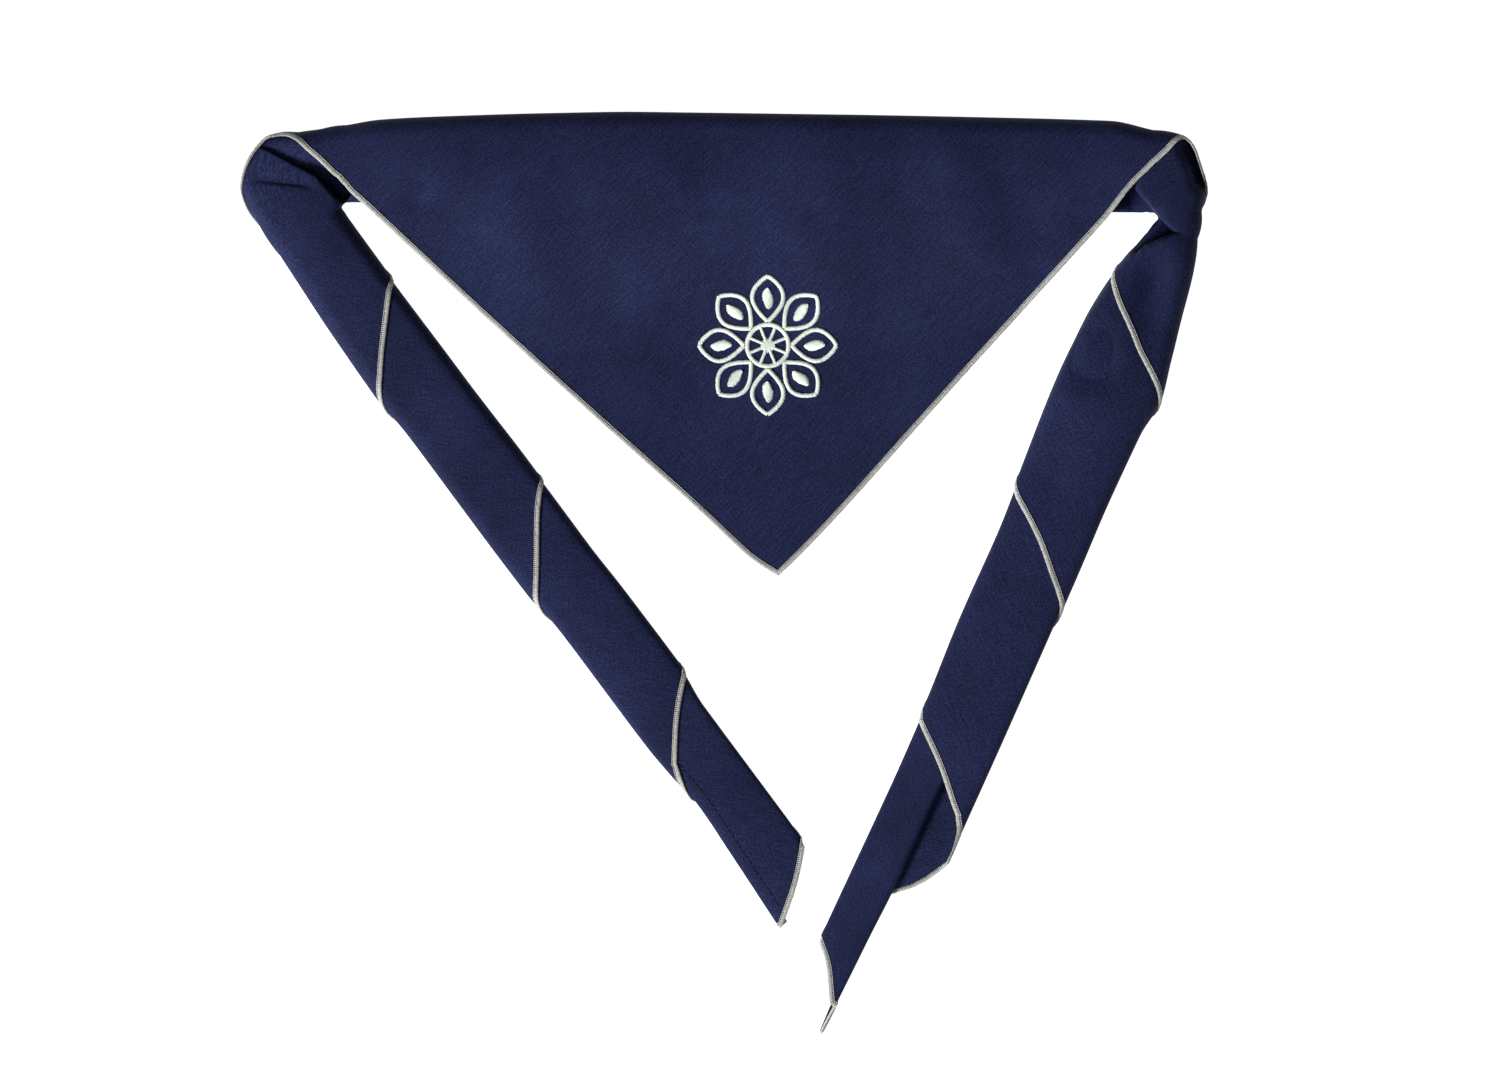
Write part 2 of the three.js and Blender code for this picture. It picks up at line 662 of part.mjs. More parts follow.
// A closed tube from sections that each have the same number of points.
function tubeOf(positions, sides, sections) {
  const faces = [];
  for (let s = 0; s + 1 < sections; s++) {
    for (let k = 0; k < sides; k++) {
      const a = s * sides + k;
      const b = s * sides + ((k + 1) % sides);
      faces.push(a, b, a + sides, b, b + sides, a + sides);
    }
  }
  const end = (sections - 1) * sides;
  for (let k = 1; k + 1 < sides; k++) {
    faces.push(0, k + 1, k, end, end + k, end + k + 1);
  }
  return geometryOf(positions, faces);
}

// Height of the cloth's middle surface at a place on the flap.
function surfaceHeight({ corners, triangles }, x, y) {
  let best = -Infinity;
  for (const t of triangles) {
    const [p, q, r] = t.map((i) => corners[i].point);
    const area = (q.x - p.x) * (r.y - p.y) - (r.x - p.x) * (q.y - p.y);
    const v = ((x - p.x) * (r.y - p.y) - (r.x - p.x) * (y - p.y)) / area;
    const w = ((q.x - p.x) * (y - p.y) - (x - p.x) * (q.y - p.y)) / area;
    if (v < 0 || w < 0 || v + w > 1) continue;
    best = Math.max(best, p.z + v * (q.z - p.z) + w * (r.z - p.z));
  }
  return best;
}

// A manifold-3d solid from a closed geometry, and a geometry from such a solid.
function solidOf(geometry) {
  const position = geometry.getAttribute("position");
  const index = geometry.getIndex();
  const count = index ? index.count : position.count;
  const keys = new Map();
  const vertProperties = [];
  const triVerts = new Uint32Array(count);
  for (let i = 0; i < count; i++) {
    const at = index ? index.getX(i) : i;
    const corner = [position.getX(at), position.getY(at), position.getZ(at)];
    const key = corner.map((c) => c.toFixed(4)).join(" ");
    if (!keys.has(key)) {
      keys.set(key, keys.size);
      vertProperties.push(...corner);
    }
    triVerts[i] = keys.get(key);
  }
  return new wasm.Manifold(
    new wasm.Mesh({ numProp: 3, vertProperties: new Float32Array(vertProperties), triVerts }),
  );
}

function geometryFrom(solid) {
  const { vertProperties, triVerts } = solid.getMesh();
  return geometryOf([...vertProperties], [...triVerts]);
}

// The largest body of a solid without what another solid takes up.
function cutClear(geometry, other) {
  const left = solidOf(geometry).subtract(solidOf(other)).decompose();
  left.sort((a, b) => b.volume() - a.volume());
  return geometryFrom(left[0].simplify(0.01));
}

const toSolid = (shape) =>
  solidOf(new THREE.ExtrudeGeometry(shape, { depth: EMBROIDERY_THICKNESS, bevelEnabled: false }));

// A pointed petal's outline from root to tip along +Y, grown by margin.
function petalPoints(margin) {
  const steps = 7;
  const from = PETAL_ROOT - margin;
  const to = ROSETTE_RADIUS + margin;
  const points = [];
  for (const way of [1, -1]) {
    for (let i = 0; i < steps; i++) {
      const share = way > 0 ? i / steps : 1 - i / steps;
      const swell = Math.sin(Math.PI * share ** 1.15) ** 0.8;
      const half = (PETAL_WIDTH / 2 + margin) * swell;
      points.push(new THREE.Vector2(way * half, lerp(from, to, share)));
    }
  }
  return points;
}

function ringPoints(radius) {
  const steps = 24;
  const points = [];
  for (let i = 0; i < steps; i++) {
    const angle = (i / steps) * 2 * Math.PI;
    points.push(new THREE.Vector2(radius * Math.cos(angle), radius * Math.sin(angle)));
  }
  return points;
}

// A band of satin stitch between two outlines.
function band(outer, inner) {
  const shape = new THREE.Shape(outer);
  shape.holes.push(new THREE.Path([...inner].reverse()));
  return shape;
}

// The rosette: pointed petals round a ring, with a spoke from the ring to a disc in its middle.
function rosetteGeometry(surface) {
  const turn = (points, angle) =>
    points.map((p) => p.clone().rotateAround(new THREE.Vector2(), angle));
  let solid = toSolid(
    band(ringPoints(RING_RADIUS + LINE_WIDTH), ringPoints(RING_RADIUS)),
  );
  for (let i = 0; i < PETALS; i++) {
    const angle = (i / PETALS) * 2 * Math.PI;
    const petal = band(turn(petalPoints(0), angle), turn(petalPoints(-LINE_WIDTH), angle));
    solid = solid.add(toSolid(petal));
    const spoke = [
      new THREE.Vector2(-LINE_WIDTH / 3, EYE_RADIUS / 2),
      new THREE.Vector2(LINE_WIDTH / 3, EYE_RADIUS / 2),
      new THREE.Vector2(LINE_WIDTH / 3, RING_RADIUS + LINE_WIDTH / 2),
      new THREE.Vector2(-LINE_WIDTH / 3, RING_RADIUS + LINE_WIDTH / 2),
    ];
    solid = solid.add(toSolid(new THREE.Shape(turn(spoke, angle + Math.PI / PETALS))));
  }
  solid = solid.add(toSolid(new THREE.Shape(ringPoints(EYE_RADIUS))));
  const { vertProperties, triVerts } = solid.getMesh();
  const positions = [];
  for (let i = 0; i < vertProperties.length; i += 3) {
    const x = ROSETTE_RIGHT + vertProperties[i];
    const y = -ROSETTE_DOWN + vertProperties[i + 1];
    const under = surfaceHeight(surface, x, y) + WALL / 2 + EMBROIDERY_GAP;
    positions.push(x, y, under + vertProperties[i + 2]);
  }
  return geometryOf(positions, [...triVerts]);
}

// Materials
const navyCotton = new THREE.MeshStandardMaterial({
  color: 0x1b2347,
  roughness: 0.86,
  metalness: 0,
});
const greyThread = new THREE.MeshStandardMaterial({
  color: 0xb9bab6,
  roughness: 0.7,
  metalness: 0,
});
const whiteThread = new THREE.MeshStandardMaterial({
  color: 0xe4e8e0,
  roughness: 0.5,
  metalness: 0,
});

const neckerchief = new THREE.Group();

function addPiece(name, geometry, material) {
  const mesh = new THREE.Mesh(geometry, material);
  mesh.name = name;
  neckerchief.add(mesh);
  return mesh;
}

const rows = clothRows();
const surface = zipRows(rows);
const normals = cornerNormals(surface);
addPiece("cloth", thicken(surface, normals, WALL), navyCotton);
const room = thicken(surface, normals, WALL + 2 * CUT_GAP);
addPiece("edging", cutClear(edgingGeometry(rows, surface, normals), room), greyThread);
addPiece("embroidered_rosette", rosetteGeometry(surface), whiteThread);

// The origin is the middle of the space that the neckerchief takes on the table.
const box = new THREE.Box3().setFromObject(neckerchief);
const middle = box.getCenter(new THREE.Vector3());
for (const mesh of neckerchief.children) {
  mesh.position.set(-middle.x, -middle.y, -box.min.z);
}

export default neckerchief;
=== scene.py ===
"""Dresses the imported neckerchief: thin cloth rolled and draped as the solids are, an overlocked
edge with its threads, the stitched long side and an embroidered rosette."""

import math

import bpy
import numpy as np
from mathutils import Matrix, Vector


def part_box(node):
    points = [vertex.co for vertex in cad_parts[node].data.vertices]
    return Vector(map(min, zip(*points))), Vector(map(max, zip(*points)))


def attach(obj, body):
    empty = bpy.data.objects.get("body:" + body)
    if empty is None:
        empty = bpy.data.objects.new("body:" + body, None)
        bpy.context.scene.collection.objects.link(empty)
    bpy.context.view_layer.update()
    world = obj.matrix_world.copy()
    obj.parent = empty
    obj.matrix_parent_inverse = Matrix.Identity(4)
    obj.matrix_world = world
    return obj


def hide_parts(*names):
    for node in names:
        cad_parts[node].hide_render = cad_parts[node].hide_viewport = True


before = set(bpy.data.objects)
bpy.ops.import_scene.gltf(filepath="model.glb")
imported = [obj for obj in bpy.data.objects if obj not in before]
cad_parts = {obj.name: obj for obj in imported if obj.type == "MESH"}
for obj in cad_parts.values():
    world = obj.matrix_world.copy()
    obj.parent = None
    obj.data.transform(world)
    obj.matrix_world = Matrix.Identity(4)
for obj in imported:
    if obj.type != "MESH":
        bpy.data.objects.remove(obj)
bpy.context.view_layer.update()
Z = np.array([0.0, 0.0, 1.0])

MM = 0.001
rng = np.random.default_rng(11)

# Sizes of the rolled cloth in millimetres, as the solids have them
CAD_WALL = 1.0
CAD_PITCH = 1.55
CORE_RADIUS = 1.2
TIP_CORE = 0.45
ROLL_WIDTH = 40.0
CORNER_RADIUS = 2.25
FLOOR_LIFT = 1.05
NECK_SPAN = 387.0
HALF_SPAN = NECK_SPAN / 2
NECK_TILT = 5.0
LEFT_TAIL = 398.0
RIGHT_TAIL = 404.0
FLAP_DROP = 169.8
FLAP_SHIFT = 13.1
DRAPE_LENGTH = 80.0
EDGING_GAP = 0.45
EDGING_WIDTH = 3.6
TURNS = 4
LAST = 4.5
END_SHARE = 0.09
HALF_TURN = 0.5

# The turn from which the roll has its full width
LOOSE_FROM = 0.85

# Sizes of the real cloth, which is thinner than the solids' walls
WALL = 0.45
PITCH = 0.8
START = -0.13

# Length of the cloth in a bend, as a share of the roll's width for each radian
BEND_RUN = 0.55

# The rosette in the frame tells where the middle of the neck stretch lies
ROSETTE_RIGHT = 8.6
ROSETTE_DOWN = 63.5
rosette_low, rosette_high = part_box("embroidered_rosette")
NECK_X = (rosette_low.x + rosette_high.x) / 2 / MM - ROSETTE_RIGHT
NECK_Y = (rosette_low.y + rosette_high.y) / 2 / MM + ROSETTE_DOWN

VIEW_WIDTH = 720.0
VIEW_DOWN = 154.0
VIEW_LEVEL = 9.0
LENS = 200.0
SENSOR = 36.0


def add_object(name, data):
    made = bpy.data.objects.new(name, data)
    bpy.context.scene.collection.objects.link(made)
    return made


def add_camera():
    """A camera straight above, framed as the photograph is."""
    data = bpy.data.cameras.new("camera")
    data.lens = LENS
    data.sensor_width = SENSOR
    camera = add_object("camera", data)
    height = VIEW_LEVEL + VIEW_WIDTH * LENS / SENSOR
    camera.location = (NECK_X * MM, (NECK_Y - VIEW_DOWN) * MM, height * MM)
    bpy.context.scene.camera = camera


add_camera()


def table(columns, *rows):
    """A table of shares, as one array of numbers for each named column."""
    return dict(zip(columns.split(), np.array(rows, float).T))


NECK_OUTLINE = table(
    "along reach",
    (0, 0.985), (0.041, 1.055), (0.15, 1.12), (0.264, 1.165), (0.364, 1.19),
    (0.624, 1.188), (0.81, 1.176), (0.9465, 1.155), (1, 1.05),
)

LEFT = {
    "bend": math.radians(126.1),
    "tail": LEFT_TAIL,
    "hem_bow": [(1.7, 1), (2.6, 12)],
    "bend_outline": table(
        "turned reach",
        (0, 0.985), (0.12, 0.985), (0.246, 1.055), (0.33, 1.2), (0.405, 1.295),
        (0.53, 1.32), (0.627, 1.3), (0.7, 1.22), (0.793, 1.1), (0.912, 1.03), (1, 1.0),
    ),
    "tail_outline": table(
        "along inner outer core",
        (0, 0.056, 1.0, 1.0), (0.04, 0.06, 1.02, 1.02), (0.11, 0.062, 1.05, 1.05),
        (0.22, 0.055, 1.065, 1.065), (0.264, 0.052, 1.037, 1.037),
        (0.38, 0.03, 1.02, 1.02), (0.5, 0.03, 0.993, 0.993), (0.57, 0.01, 0.945, 0.945),
        (0.68, 0, 0.925, 0.925), (0.74, 0.055, 0.91, 0.91), (0.84, 0.055, 0.84, 0.84),
        (0.9, 0.055, 0.86, 0.86), (1, 0.055, 0.9, 0.9),
    ),
    "lie": table("along crown lean", (0, 1.3, 0), (1, 1.3, 0)),
    "hem": table(
        "turn station",
        (0.09, 3), (0.25, 2.971), (0.5, 2.914), (1, 2.797), (1.09, 2.772), (1.41, 2.691),
        (1.5, 2.676), (2, 2.52), (2.09, 2.497), (2.41, 2.406), (2.5, 2.392), (3, 2.2136),
        (3.09, 2.1827), (3.41, 2.1065), (3.5, 2.088), (3.91, 1.82), (3.97, 1.74), (4, 1.6),
        (4.008, 1.36), (4.022, 1.3), (4.05, 1.256), (4.149, 1.195), (4.265, 1.1015),
        (4.3286, 1.0), (4.396, 0.9768), (LAST, 0.9315),
    ),
}
RIGHT = {
    "bend": math.radians(114.9),
    "tail": RIGHT_TAIL,
    "hem_bow": [(0.8, 1), (1.5, 4)],
    "bend_outline": table(
        "turned reach",
        (0, 1.05), (0.148, 1.05), (0.218, 1.02), (0.279, 0.955), (0.331, 0.885),
        (0.397, 0.82), (0.556, 0.717), (0.639, 0.645), (0.74, 0.6), (1, 0.6),
    ),
    "tail_outline": table(
        "along inner outer core",
        (0, 0.056, 0.6, 0.6), (0.0155, 0.01, 0.66, 0.66), (0.046, -0.08, 0.74, 0.74),
        (0.0965, -0.2, 0.83, 0.83), (0.144, -0.245, 0.92, 0.92), (0.205, -0.2525, 1.02, 1.0),
        (0.24, -0.24, 0.975, 0.96), (0.325, -0.18, 0.968, 0.92), (0.42, -0.11, 0.99, 0.86),
        (0.52, -0.09, 1.005, 0.76), (0.645, -0.02, 1.02, 0.64), (0.75, 0.01, 1.025, 0.59),
        (0.84, 0.015, 1.035, 0.59), (0.92, 0.02, 0.56, 0.56), (1, 0.03, 0.53, 0.53),
    ),
    "lie": table(
        "along crown lean",
        (0, 1.3, 0), (0.05, 2.5, 4), (0.13, 2.5, 7), (0.22, 2.0, 5), (0.34, 1.3, 0), (1, 1.3, 0),
    ),
    "hem": table(
        "turn station",
        (0.09, 3), (0.25, 2.962), (0.5, 2.923), (0.762, 2.853), (0.837, 2.829),
        (0.895, 2.802), (1, 2.757), (1.09, 2.7376), (1.25, 2.6918), (1.5, 2.631),
        (2, 2.463), (2.09, 2.4423), (2.25, 2.398), (2.5, 2.3416), (3, 2.19),
        (3.09, 2.1634), (3.25, 2.1245), (3.5, 2.062), (3.91, 1.66), (3.97, 1.58),
        (3.982, 1.466), (3.9855, 1.318), (3.988, 1.25), (3.993, 1.185), (4.02, 1.14),
        (4.05, 1.106), (4.115, 1.032), (4.145, 1.0), (4.225, 0.9697), (4.322, 0.9326),
        (LAST, 0.871),
    ),
}

# Soft folds in the flap, as the solids have them: shares of the flap, lift in millimetres and
# lean in degrees
FOLD_KEYS = ("across", "down", "length", "width", "lift", "lean")
FLAP_FOLDS = [
    (-0.55, 0.02, 0.34, 0.16, 1.6, 12),
    (-0.22, 0.08, 0.4, 0.14, 1.2, -8),
    (0.2, 0.06, 0.36, 0.15, 1.3, 14),
    (0.56, 0.04, 0.34, 0.17, 1.8, 24),
    (-0.3, 0.42, 0.3, 0.14, 0.9, 42),
    (0.4, 0.38, 0.28, 0.15, 1.0, -38),
]


def along_it(value):
    """A value at shares of a crease's line. A single number holds for all of it."""
    return [(0, value), (1, value)] if np.isscalar(value) else value


def pressed(line, depth, gentle, steep, ends, low=1, lip=0, top=False):
    """A crease pressed into the roll. Line is in millimetres from the middle of the neck, depth
    the share of the height that is lost, gentle and steep how far the crease reaches on its low
    and on its raised side, ends the shares of the line over which it fades, low the side that
    stays down, lip how far the raised side hangs over, and top says that it runs in the last
    turn instead of in those under it."""
    return dict(
        line=line, depth=along_it(depth), gentle=along_it(gentle), steep=steep, ends=ends,
        low=low, lip=lip, top=top,
    )


CREASES = [
    pressed(
        [(-240, 34), (-223.2, 24.8), (-208.8, 17.6), (-204.5, 12.8), (-197.3, 5.1),
         (-195.6, 3.4)],
        depth=[(0, 0.1), (0.5, 0.2), (0.75, 0.5), (1, 0.88)],
        gentle=[(0, 5), (0.6, 9), (1, 17)],
        steep=1.2, lip=2.2, ends=(0.2, 0.02),
    ),
    pressed(
        [(-245, 14), (-234.4, 15.2), (-215.2, 13.2), (-206.5, 11.4)],
        depth=0.07, gentle=5, steep=1.6, lip=0.4, ends=(0.35, 0.25),
    ),
    pressed(
        [(189.6, 31.5), (184.8, 11.4), (196.8, -2.1), (203.9, -9.7), (196.8, -12.6),
         (189.6, -16.0), (182.4, -21.7)],
        low=-1, depth=[(0, 0.85), (0.5, 0.9), (0.66, 0.94), (0.85, 0.85), (1, 0.4)],
        gentle=[(0, 13), (0.5, 14), (0.66, 11), (1, 9)],
        steep=1.0, lip=1.6, ends=(0.05, 0.1),
    ),
    pressed(
        [(200, -14), (193, -34.7), (189, -56), (187, -80)],
        depth=[(0, 0.26), (1, 0.1)], gentle=[(0, 7), (1, 12)],
        steep=9, ends=(0.3, 0.5),
    ),
    pressed(
        [(150, -64), (166, -68), (180, -70)],
        depth=0.2, gentle=8, steep=8, ends=(0.3, 0.4),
    ),
    pressed(
        [(207, 36.5), (214.5, 23), (218, 8)],
        low=-1, depth=0.5, gentle=4, steep=5, ends=(0.25, 0.3),
    ),
    pressed(
        [(-156, 20.5), (-161, 9), (-166, -2)],
        depth=0.07, gentle=7, steep=4, ends=(0.4, 0.4), top=True,
    ),
]

# How much the cloth is drawn towards a crease, how widely the buried turns are pressed, how far
# and from what height a lip hangs over, and the share by which lying cloth is uneven
GATHER = 0.3
GATHER_REACH = 4.5
BURIED_REACH = 13.0
HANG_REACH = 6.0
HANG_HEIGHT = 12.0
UNEVEN = 0.03

# The turns over which the cloth passes from buried to shown, and into the last turn
BURIED_TURNS = (2.85, 2.97)
LAST_TURNS = (3.85, 4.03)

# Places where the last turn is lifted off the one under it: middle, radius and lift.
HOLLOWS = [
    dict(middle=(-229.5, 34.4), radius=15, lift=2.4),
    dict(middle=(209.0, 27.0), radius=15, lift=1.6),
]


def curve(rows, key, column, at):
    """Reads a column at values of the key column, along a curve without overshoot."""
    x = rows[key]
    y = rows[column]
    if x[-1] < x[0]:
        x = x[::-1]
        y = y[::-1]
    slope = np.diff(y) / np.diff(x)
    before = slope[:-1]
    after = slope[1:]
    middle = np.zeros(len(before))
    same = before * after > 0
    middle[same] = 2 * before[same] * after[same] / (before[same] + after[same])
    tangent = np.concatenate([slope[:1], middle, slope[-1:]])
    at = np.clip(at, x[0], x[-1])
    i = np.clip(np.searchsorted(x, at) - 1, 0, len(x) - 2)
    h = x[i + 1] - x[i]
    s = (at - x[i]) / h
    c1 = h * tangent[i]
    c2 = h * tangent[i + 1]
    rise = y[i + 1] - y[i]
    return y[i] + s * (c1 + s * (3 * rise - 2 * c1 - c2 + s * (c1 + c2 - 2 * rise)))


def unit(vectors):
    return vectors / np.maximum(np.linalg.norm(vectors, axis=-1, keepdims=True), 1e-12)


def run_along(points):
    """How far along a line of points each of them lies."""
    return np.concatenate([[0], np.cumsum(np.linalg.norm(np.diff(points, axis=0), axis=1))])


def dot(a, b):
    return (a * b).sum(axis=1)


def lerp(a, b, share):
    return a + (b - a) * share


def smoothstep(value, low, high):
    t = np.clip((value - low) / (high - low), 0, 1)
    return t * t * (3 - 2 * t)


def side_value(name, station):
    """A value of the side that a station lies on. Stations are negative on the left."""
    return np.where(station < 0, LEFT[name], RIGHT[name])


def side_curve(name, key, column, station, first=0):
    """Reads a table of the side that a station lies on, with its key counted from first."""
    at = np.abs(station) - first
    left, right = (curve(side[name], key, column, at) for side in (LEFT, RIGHT))
    return np.where(station < 0, left, right)


def turns_at(station):
    return side_curve("hem", "station", "turn", station)


def hem_station(side, turn):
    return float(curve(side["hem"], "turn", "station", turn))


def section(station):
    """The line across the roll at each station: origin, outward direction and edges."""
    s = np.abs(station)
    mirror = np.where(station < 0, -1.0, 1.0)
    share = np.clip(station, -1, 1)
    along = np.clip(s - 2, 0, None)
    angle = np.clip(s - 1, 0, 1) * side_value("bend", station)
    length = side_value("tail", station) * along
    x = share * HALF_SPAN + mirror * np.cos(angle) * length
    y = -share * NECK_TILT / 2 - np.sin(angle) * length
    neck = curve(NECK_OUTLINE, "along", "reach", (1 + share) / 2)
    bend = side_curve("bend_outline", "turned", "reach", station, 1)

    def tail(column):
        return side_curve("tail_outline", "along", column, station, 2)

    round_bend = np.where(s <= 1, neck, bend)
    return dict(
        x=x,
        y=y,
        out_x=mirror * np.sin(angle),
        out_y=np.cos(angle),
        near=np.where(s <= 2, CORNER_RADIUS, tail("inner") * ROLL_WIDTH),
        far=np.where(s <= 2, round_bend, tail("outer")) * ROLL_WIDTH,
        core=np.where(s <= 2, round_bend, tail("core")) * ROLL_WIDTH,
    )


def fold_rise(x, y):
    """The rise of the flap's soft folds at places on it."""
    rise = 0
    for row in FLAP_FOLDS:
        fold = dict(zip(FOLD_KEYS, row))
        dx = (x - fold["across"] * HALF_SPAN) / FLAP_DROP
        dy = (y + fold["down"] * FLAP_DROP) / FLAP_DROP
        lean = math.radians(fold["lean"])
        across = (dx * math.cos(lean) + dy * math.sin(lean)) / fold["width"]
        along = (dy * math.cos(lean) - dx * math.sin(lean)) / fold["length"]
        left = np.clip(1 - across**2 - along**2, 0, None)
        rise = rise + fold["lift"] * left**2
    return rise


def core_at(station):
    """Radius of the solids' core, which closes towards the tip of each tail."""
    opened = np.where(station < 0, hem_station(LEFT, 2), hem_station(RIGHT, 2))
    return CORE_RADIUS * lerp(1, TIP_CORE, smoothstep(np.abs(station), opened, 3))


def centre_height(station):
    turns = np.minimum(turns_at(station), TURNS - HALF_TURN / 2)
    return FLOOR_LIFT + CAD_WALL / 2 + core_at(station) + CAD_PITCH * turns


def drape_height(top, past, x, y):
    down = smoothstep(past, 0, DRAPE_LENGTH)
    return lerp(top, CAD_WALL / 2, down) + fold_rise(x, y)


# At a corner of a line two of its pieces are equally near: the one seen more squarely is taken
TIE = 1e-3


def along_line(x, y, line):
    """Signed distance from a line of points, positive on its left, and share of its length."""
    points = np.array(line, float)
    lengths = np.linalg.norm(np.diff(points, axis=0), axis=1)
    starts = run_along(points)
    best = np.full(np.shape(x), np.inf)
    signed = np.zeros(np.shape(x))
    share = np.zeros(np.shape(x))
    for (ax, ay), (bx, by), length, start in zip(points, points[1:], lengths, starts):
        ux = (bx - ax) / length
        uy = (by - ay) / length
        t = np.clip((x - ax) * ux + (y - ay) * uy, 0, length)
        away = np.hypot(x - ax - t * ux, y - ay - t * uy)
        side = ux * (y - ay) - uy * (x - ax)
        rank = away - TIE * np.abs(side)
        nearer = rank < best
        best = np.where(nearer, rank, best)
        signed = np.where(nearer, away * np.sign(side), signed)
        share = np.where(nearer, (start + t) / starts[-1], share)
    return signed, share


RIPPLES = [
    (rng.uniform(0, 2 * math.pi), 2 * math.pi / rng.uniform(34, 95), rng.uniform(0, 2 * math.pi))
    for _ in range(12)
]


def ripple(x, y):
    """A slow unevenness of the lying cloth, from about -1 to 1."""
    total = 0
    for heading, rate, phase in RIPPLES:
        total = total + np.sin(rate * (x * math.cos(heading) + y * math.sin(heading)) + phase)
    return total / math.sqrt(len(RIPPLES) * 2)


def away_from(x, y, crease):
    """Distance from a crease, positive on its raised side, its share and its direction."""
    step = 0.2
    line = crease["line"]
    signed, share = along_line(x, y, line)
    more = [along_line(x + dx, y + dy, line)[0] - signed for dx, dy in ((step, 0), (0, step))]
    way = unit(np.stack(more, axis=1) / step)
    return signed * -crease["low"], share, way * -crease["low"]


def settle(p, turn):
    """Presses the creases and the unevenness into points of the cloth."""
    place = p[:, :2].copy()
    x, y, z = p.T
    kept = np.ones(len(p))
    last = smoothstep(turn, *LAST_TURNS)
    buried = 1 - smoothstep(turn, *BURIED_TURNS)
    for crease in CREASES:
        signed, share, way = away_from(*place.T, crease)
        start, end = crease["ends"]
        weight = smoothstep(share, 0, start) * (1 - smoothstep(share, 1 - end, 1))
        weight = weight * (last if crease["top"] else 1 - last)
        gathered = signed * (1 - GATHER * weight * np.exp(-((signed / GATHER_REACH) ** 2)))
        gentle = np.interp(share, *zip(*crease["gentle"]))
        depth = np.interp(share, *zip(*crease["depth"]))
        reach = np.where(gathered > 0, crease["steep"], gentle)
        reach = lerp(reach, np.maximum(reach, BURIED_REACH), buried)
        valley = np.exp(-((gathered / reach) ** 2))
        kept = kept * (1 - depth * weight * valley)
        near = np.exp(-((gathered / HANG_REACH) ** 2))
        over = np.where(gathered > 0, (1 - valley) * near, 0)
        hang = crease["lip"] * weight * over * np.clip(z / HANG_HEIGHT, 0, 1)
        place += way * (gathered - signed - hang)[:, None]
    height = z * kept * (1 + UNEVEN * ripple(x, y))
    for hollow in HOLLOWS:
        away = np.hypot(x - hollow["middle"][0], y - hollow["middle"][1])
        height = height + hollow["lift"] * np.exp(-((away / hollow["radius"]) ** 2)) * last
    return np.concatenate([place, height[:, None]], axis=1)


def roll_point(turn, station):
    """Points of the cloth in the roll: turn along the spiral, station along the roll."""
    turn = np.asarray(turn, float)
    station = np.asarray(station, float)
    line = section(station)
    turns = np.minimum(turns_at(station), TURNS)
    core = core_at(station) + (CAD_PITCH - PITCH) * turns
    full = core + PITCH * turns
    loose = smoothstep(turn, HALF_TURN, LOOSE_FROM)
    far_end = lerp(line["core"], line["far"], loose) - full
    near_end = line["near"] + full
    radius = core + PITCH * np.minimum(turn, TURNS + HALF_TURN / 2)
    phase = turn - np.round(turn)
    at_far = np.abs(phase) <= END_SHARE
    draping = (turn > TURNS) & ~at_far
    at_near = (HALF_TURN - np.abs(phase) < END_SHARE) & ~draping
    far_angle = np.clip(phase / END_SHARE, -1, 1) * math.pi / 2
    turned = np.where(phase > 0, HALF_TURN - phase, -HALF_TURN - phase) / END_SHARE
    near_angle = np.clip(turned, -1, 1) * math.pi / 2
    flat = (np.abs(phase) - END_SHARE) / (HALF_TURN - 2 * END_SHARE)
    drape = (turn - TURNS - END_SHARE) / (HALF_TURN - END_SHARE)
    t = np.select(
        [at_far, draping, at_near],
        [
            far_end + radius * np.cos(far_angle),
            lerp(far_end, line["near"], drape),
            near_end - radius * np.cos(near_angle),
        ],
        lerp(far_end, near_end, flat),
    )
    height = np.select(
        [at_far, draping, at_near],
        [radius * np.sin(far_angle), radius, radius * np.sin(near_angle)],
        radius * np.sign(phase),
    )
    x = line["x"] + line["out_x"] * t
    y = line["y"] + line["out_y"] * t
    across = np.clip((t - line["near"]) / (line["far"] - line["near"]), 0, 1)
    rounding = side_curve("lie", "along", "crown", station, 2)
    lean = side_curve("lie", "along", "lean", station, 2)
    crown = rounding * 4 * across * (1 - across) + lean * (1 - across)
    z = centre_height(station) + height + crown * np.clip(height / radius, 0, 1)
    z = np.where(turn > TURNS + END_SHARE, drape_height(z, near_end - t, x, y), z)
    return settle(np.stack([x, y, z], axis=1), turn)


def flap_point(share, x):
    """Points of the flap below the roll: share of the way down to the point, and x."""
    share = np.asarray(share, float)
    x = np.asarray(x, float)
    station = np.clip(x / HALF_SPAN, -1, 1)
    line = section(station)
    slant = -x / HALF_SPAN * NECK_TILT / 2
    y = lerp(slant + CORNER_RADIUS, -FLAP_DROP, share)
    core = CORE_RADIUS + (CAD_PITCH - PITCH) * TURNS
    full = core + PITCH * TURNS
    top = centre_height(station) + core + PITCH * (TURNS + HALF_TURN / 2)
    z = drape_height(top, line["near"] + full - (y - slant), x, y)
    return settle(np.stack([x, y, z], axis=1), np.full(len(x), LAST))


# The overlocked band, as shares of its reach beyond the corners of the cloth, the columns of
# these shares at which the cloth under it has corners, and how far a sharp turn may widen it
BAND_OUT = EDGING_GAP + EDGING_WIDTH
SHARES = np.array([0, 0.15, 0.3, 0.45, 0.6, 0.75, 0.9, 1.0])
BORDER_COLUMNS = (2, 4, 6)
MOST_STRETCH = 1.42

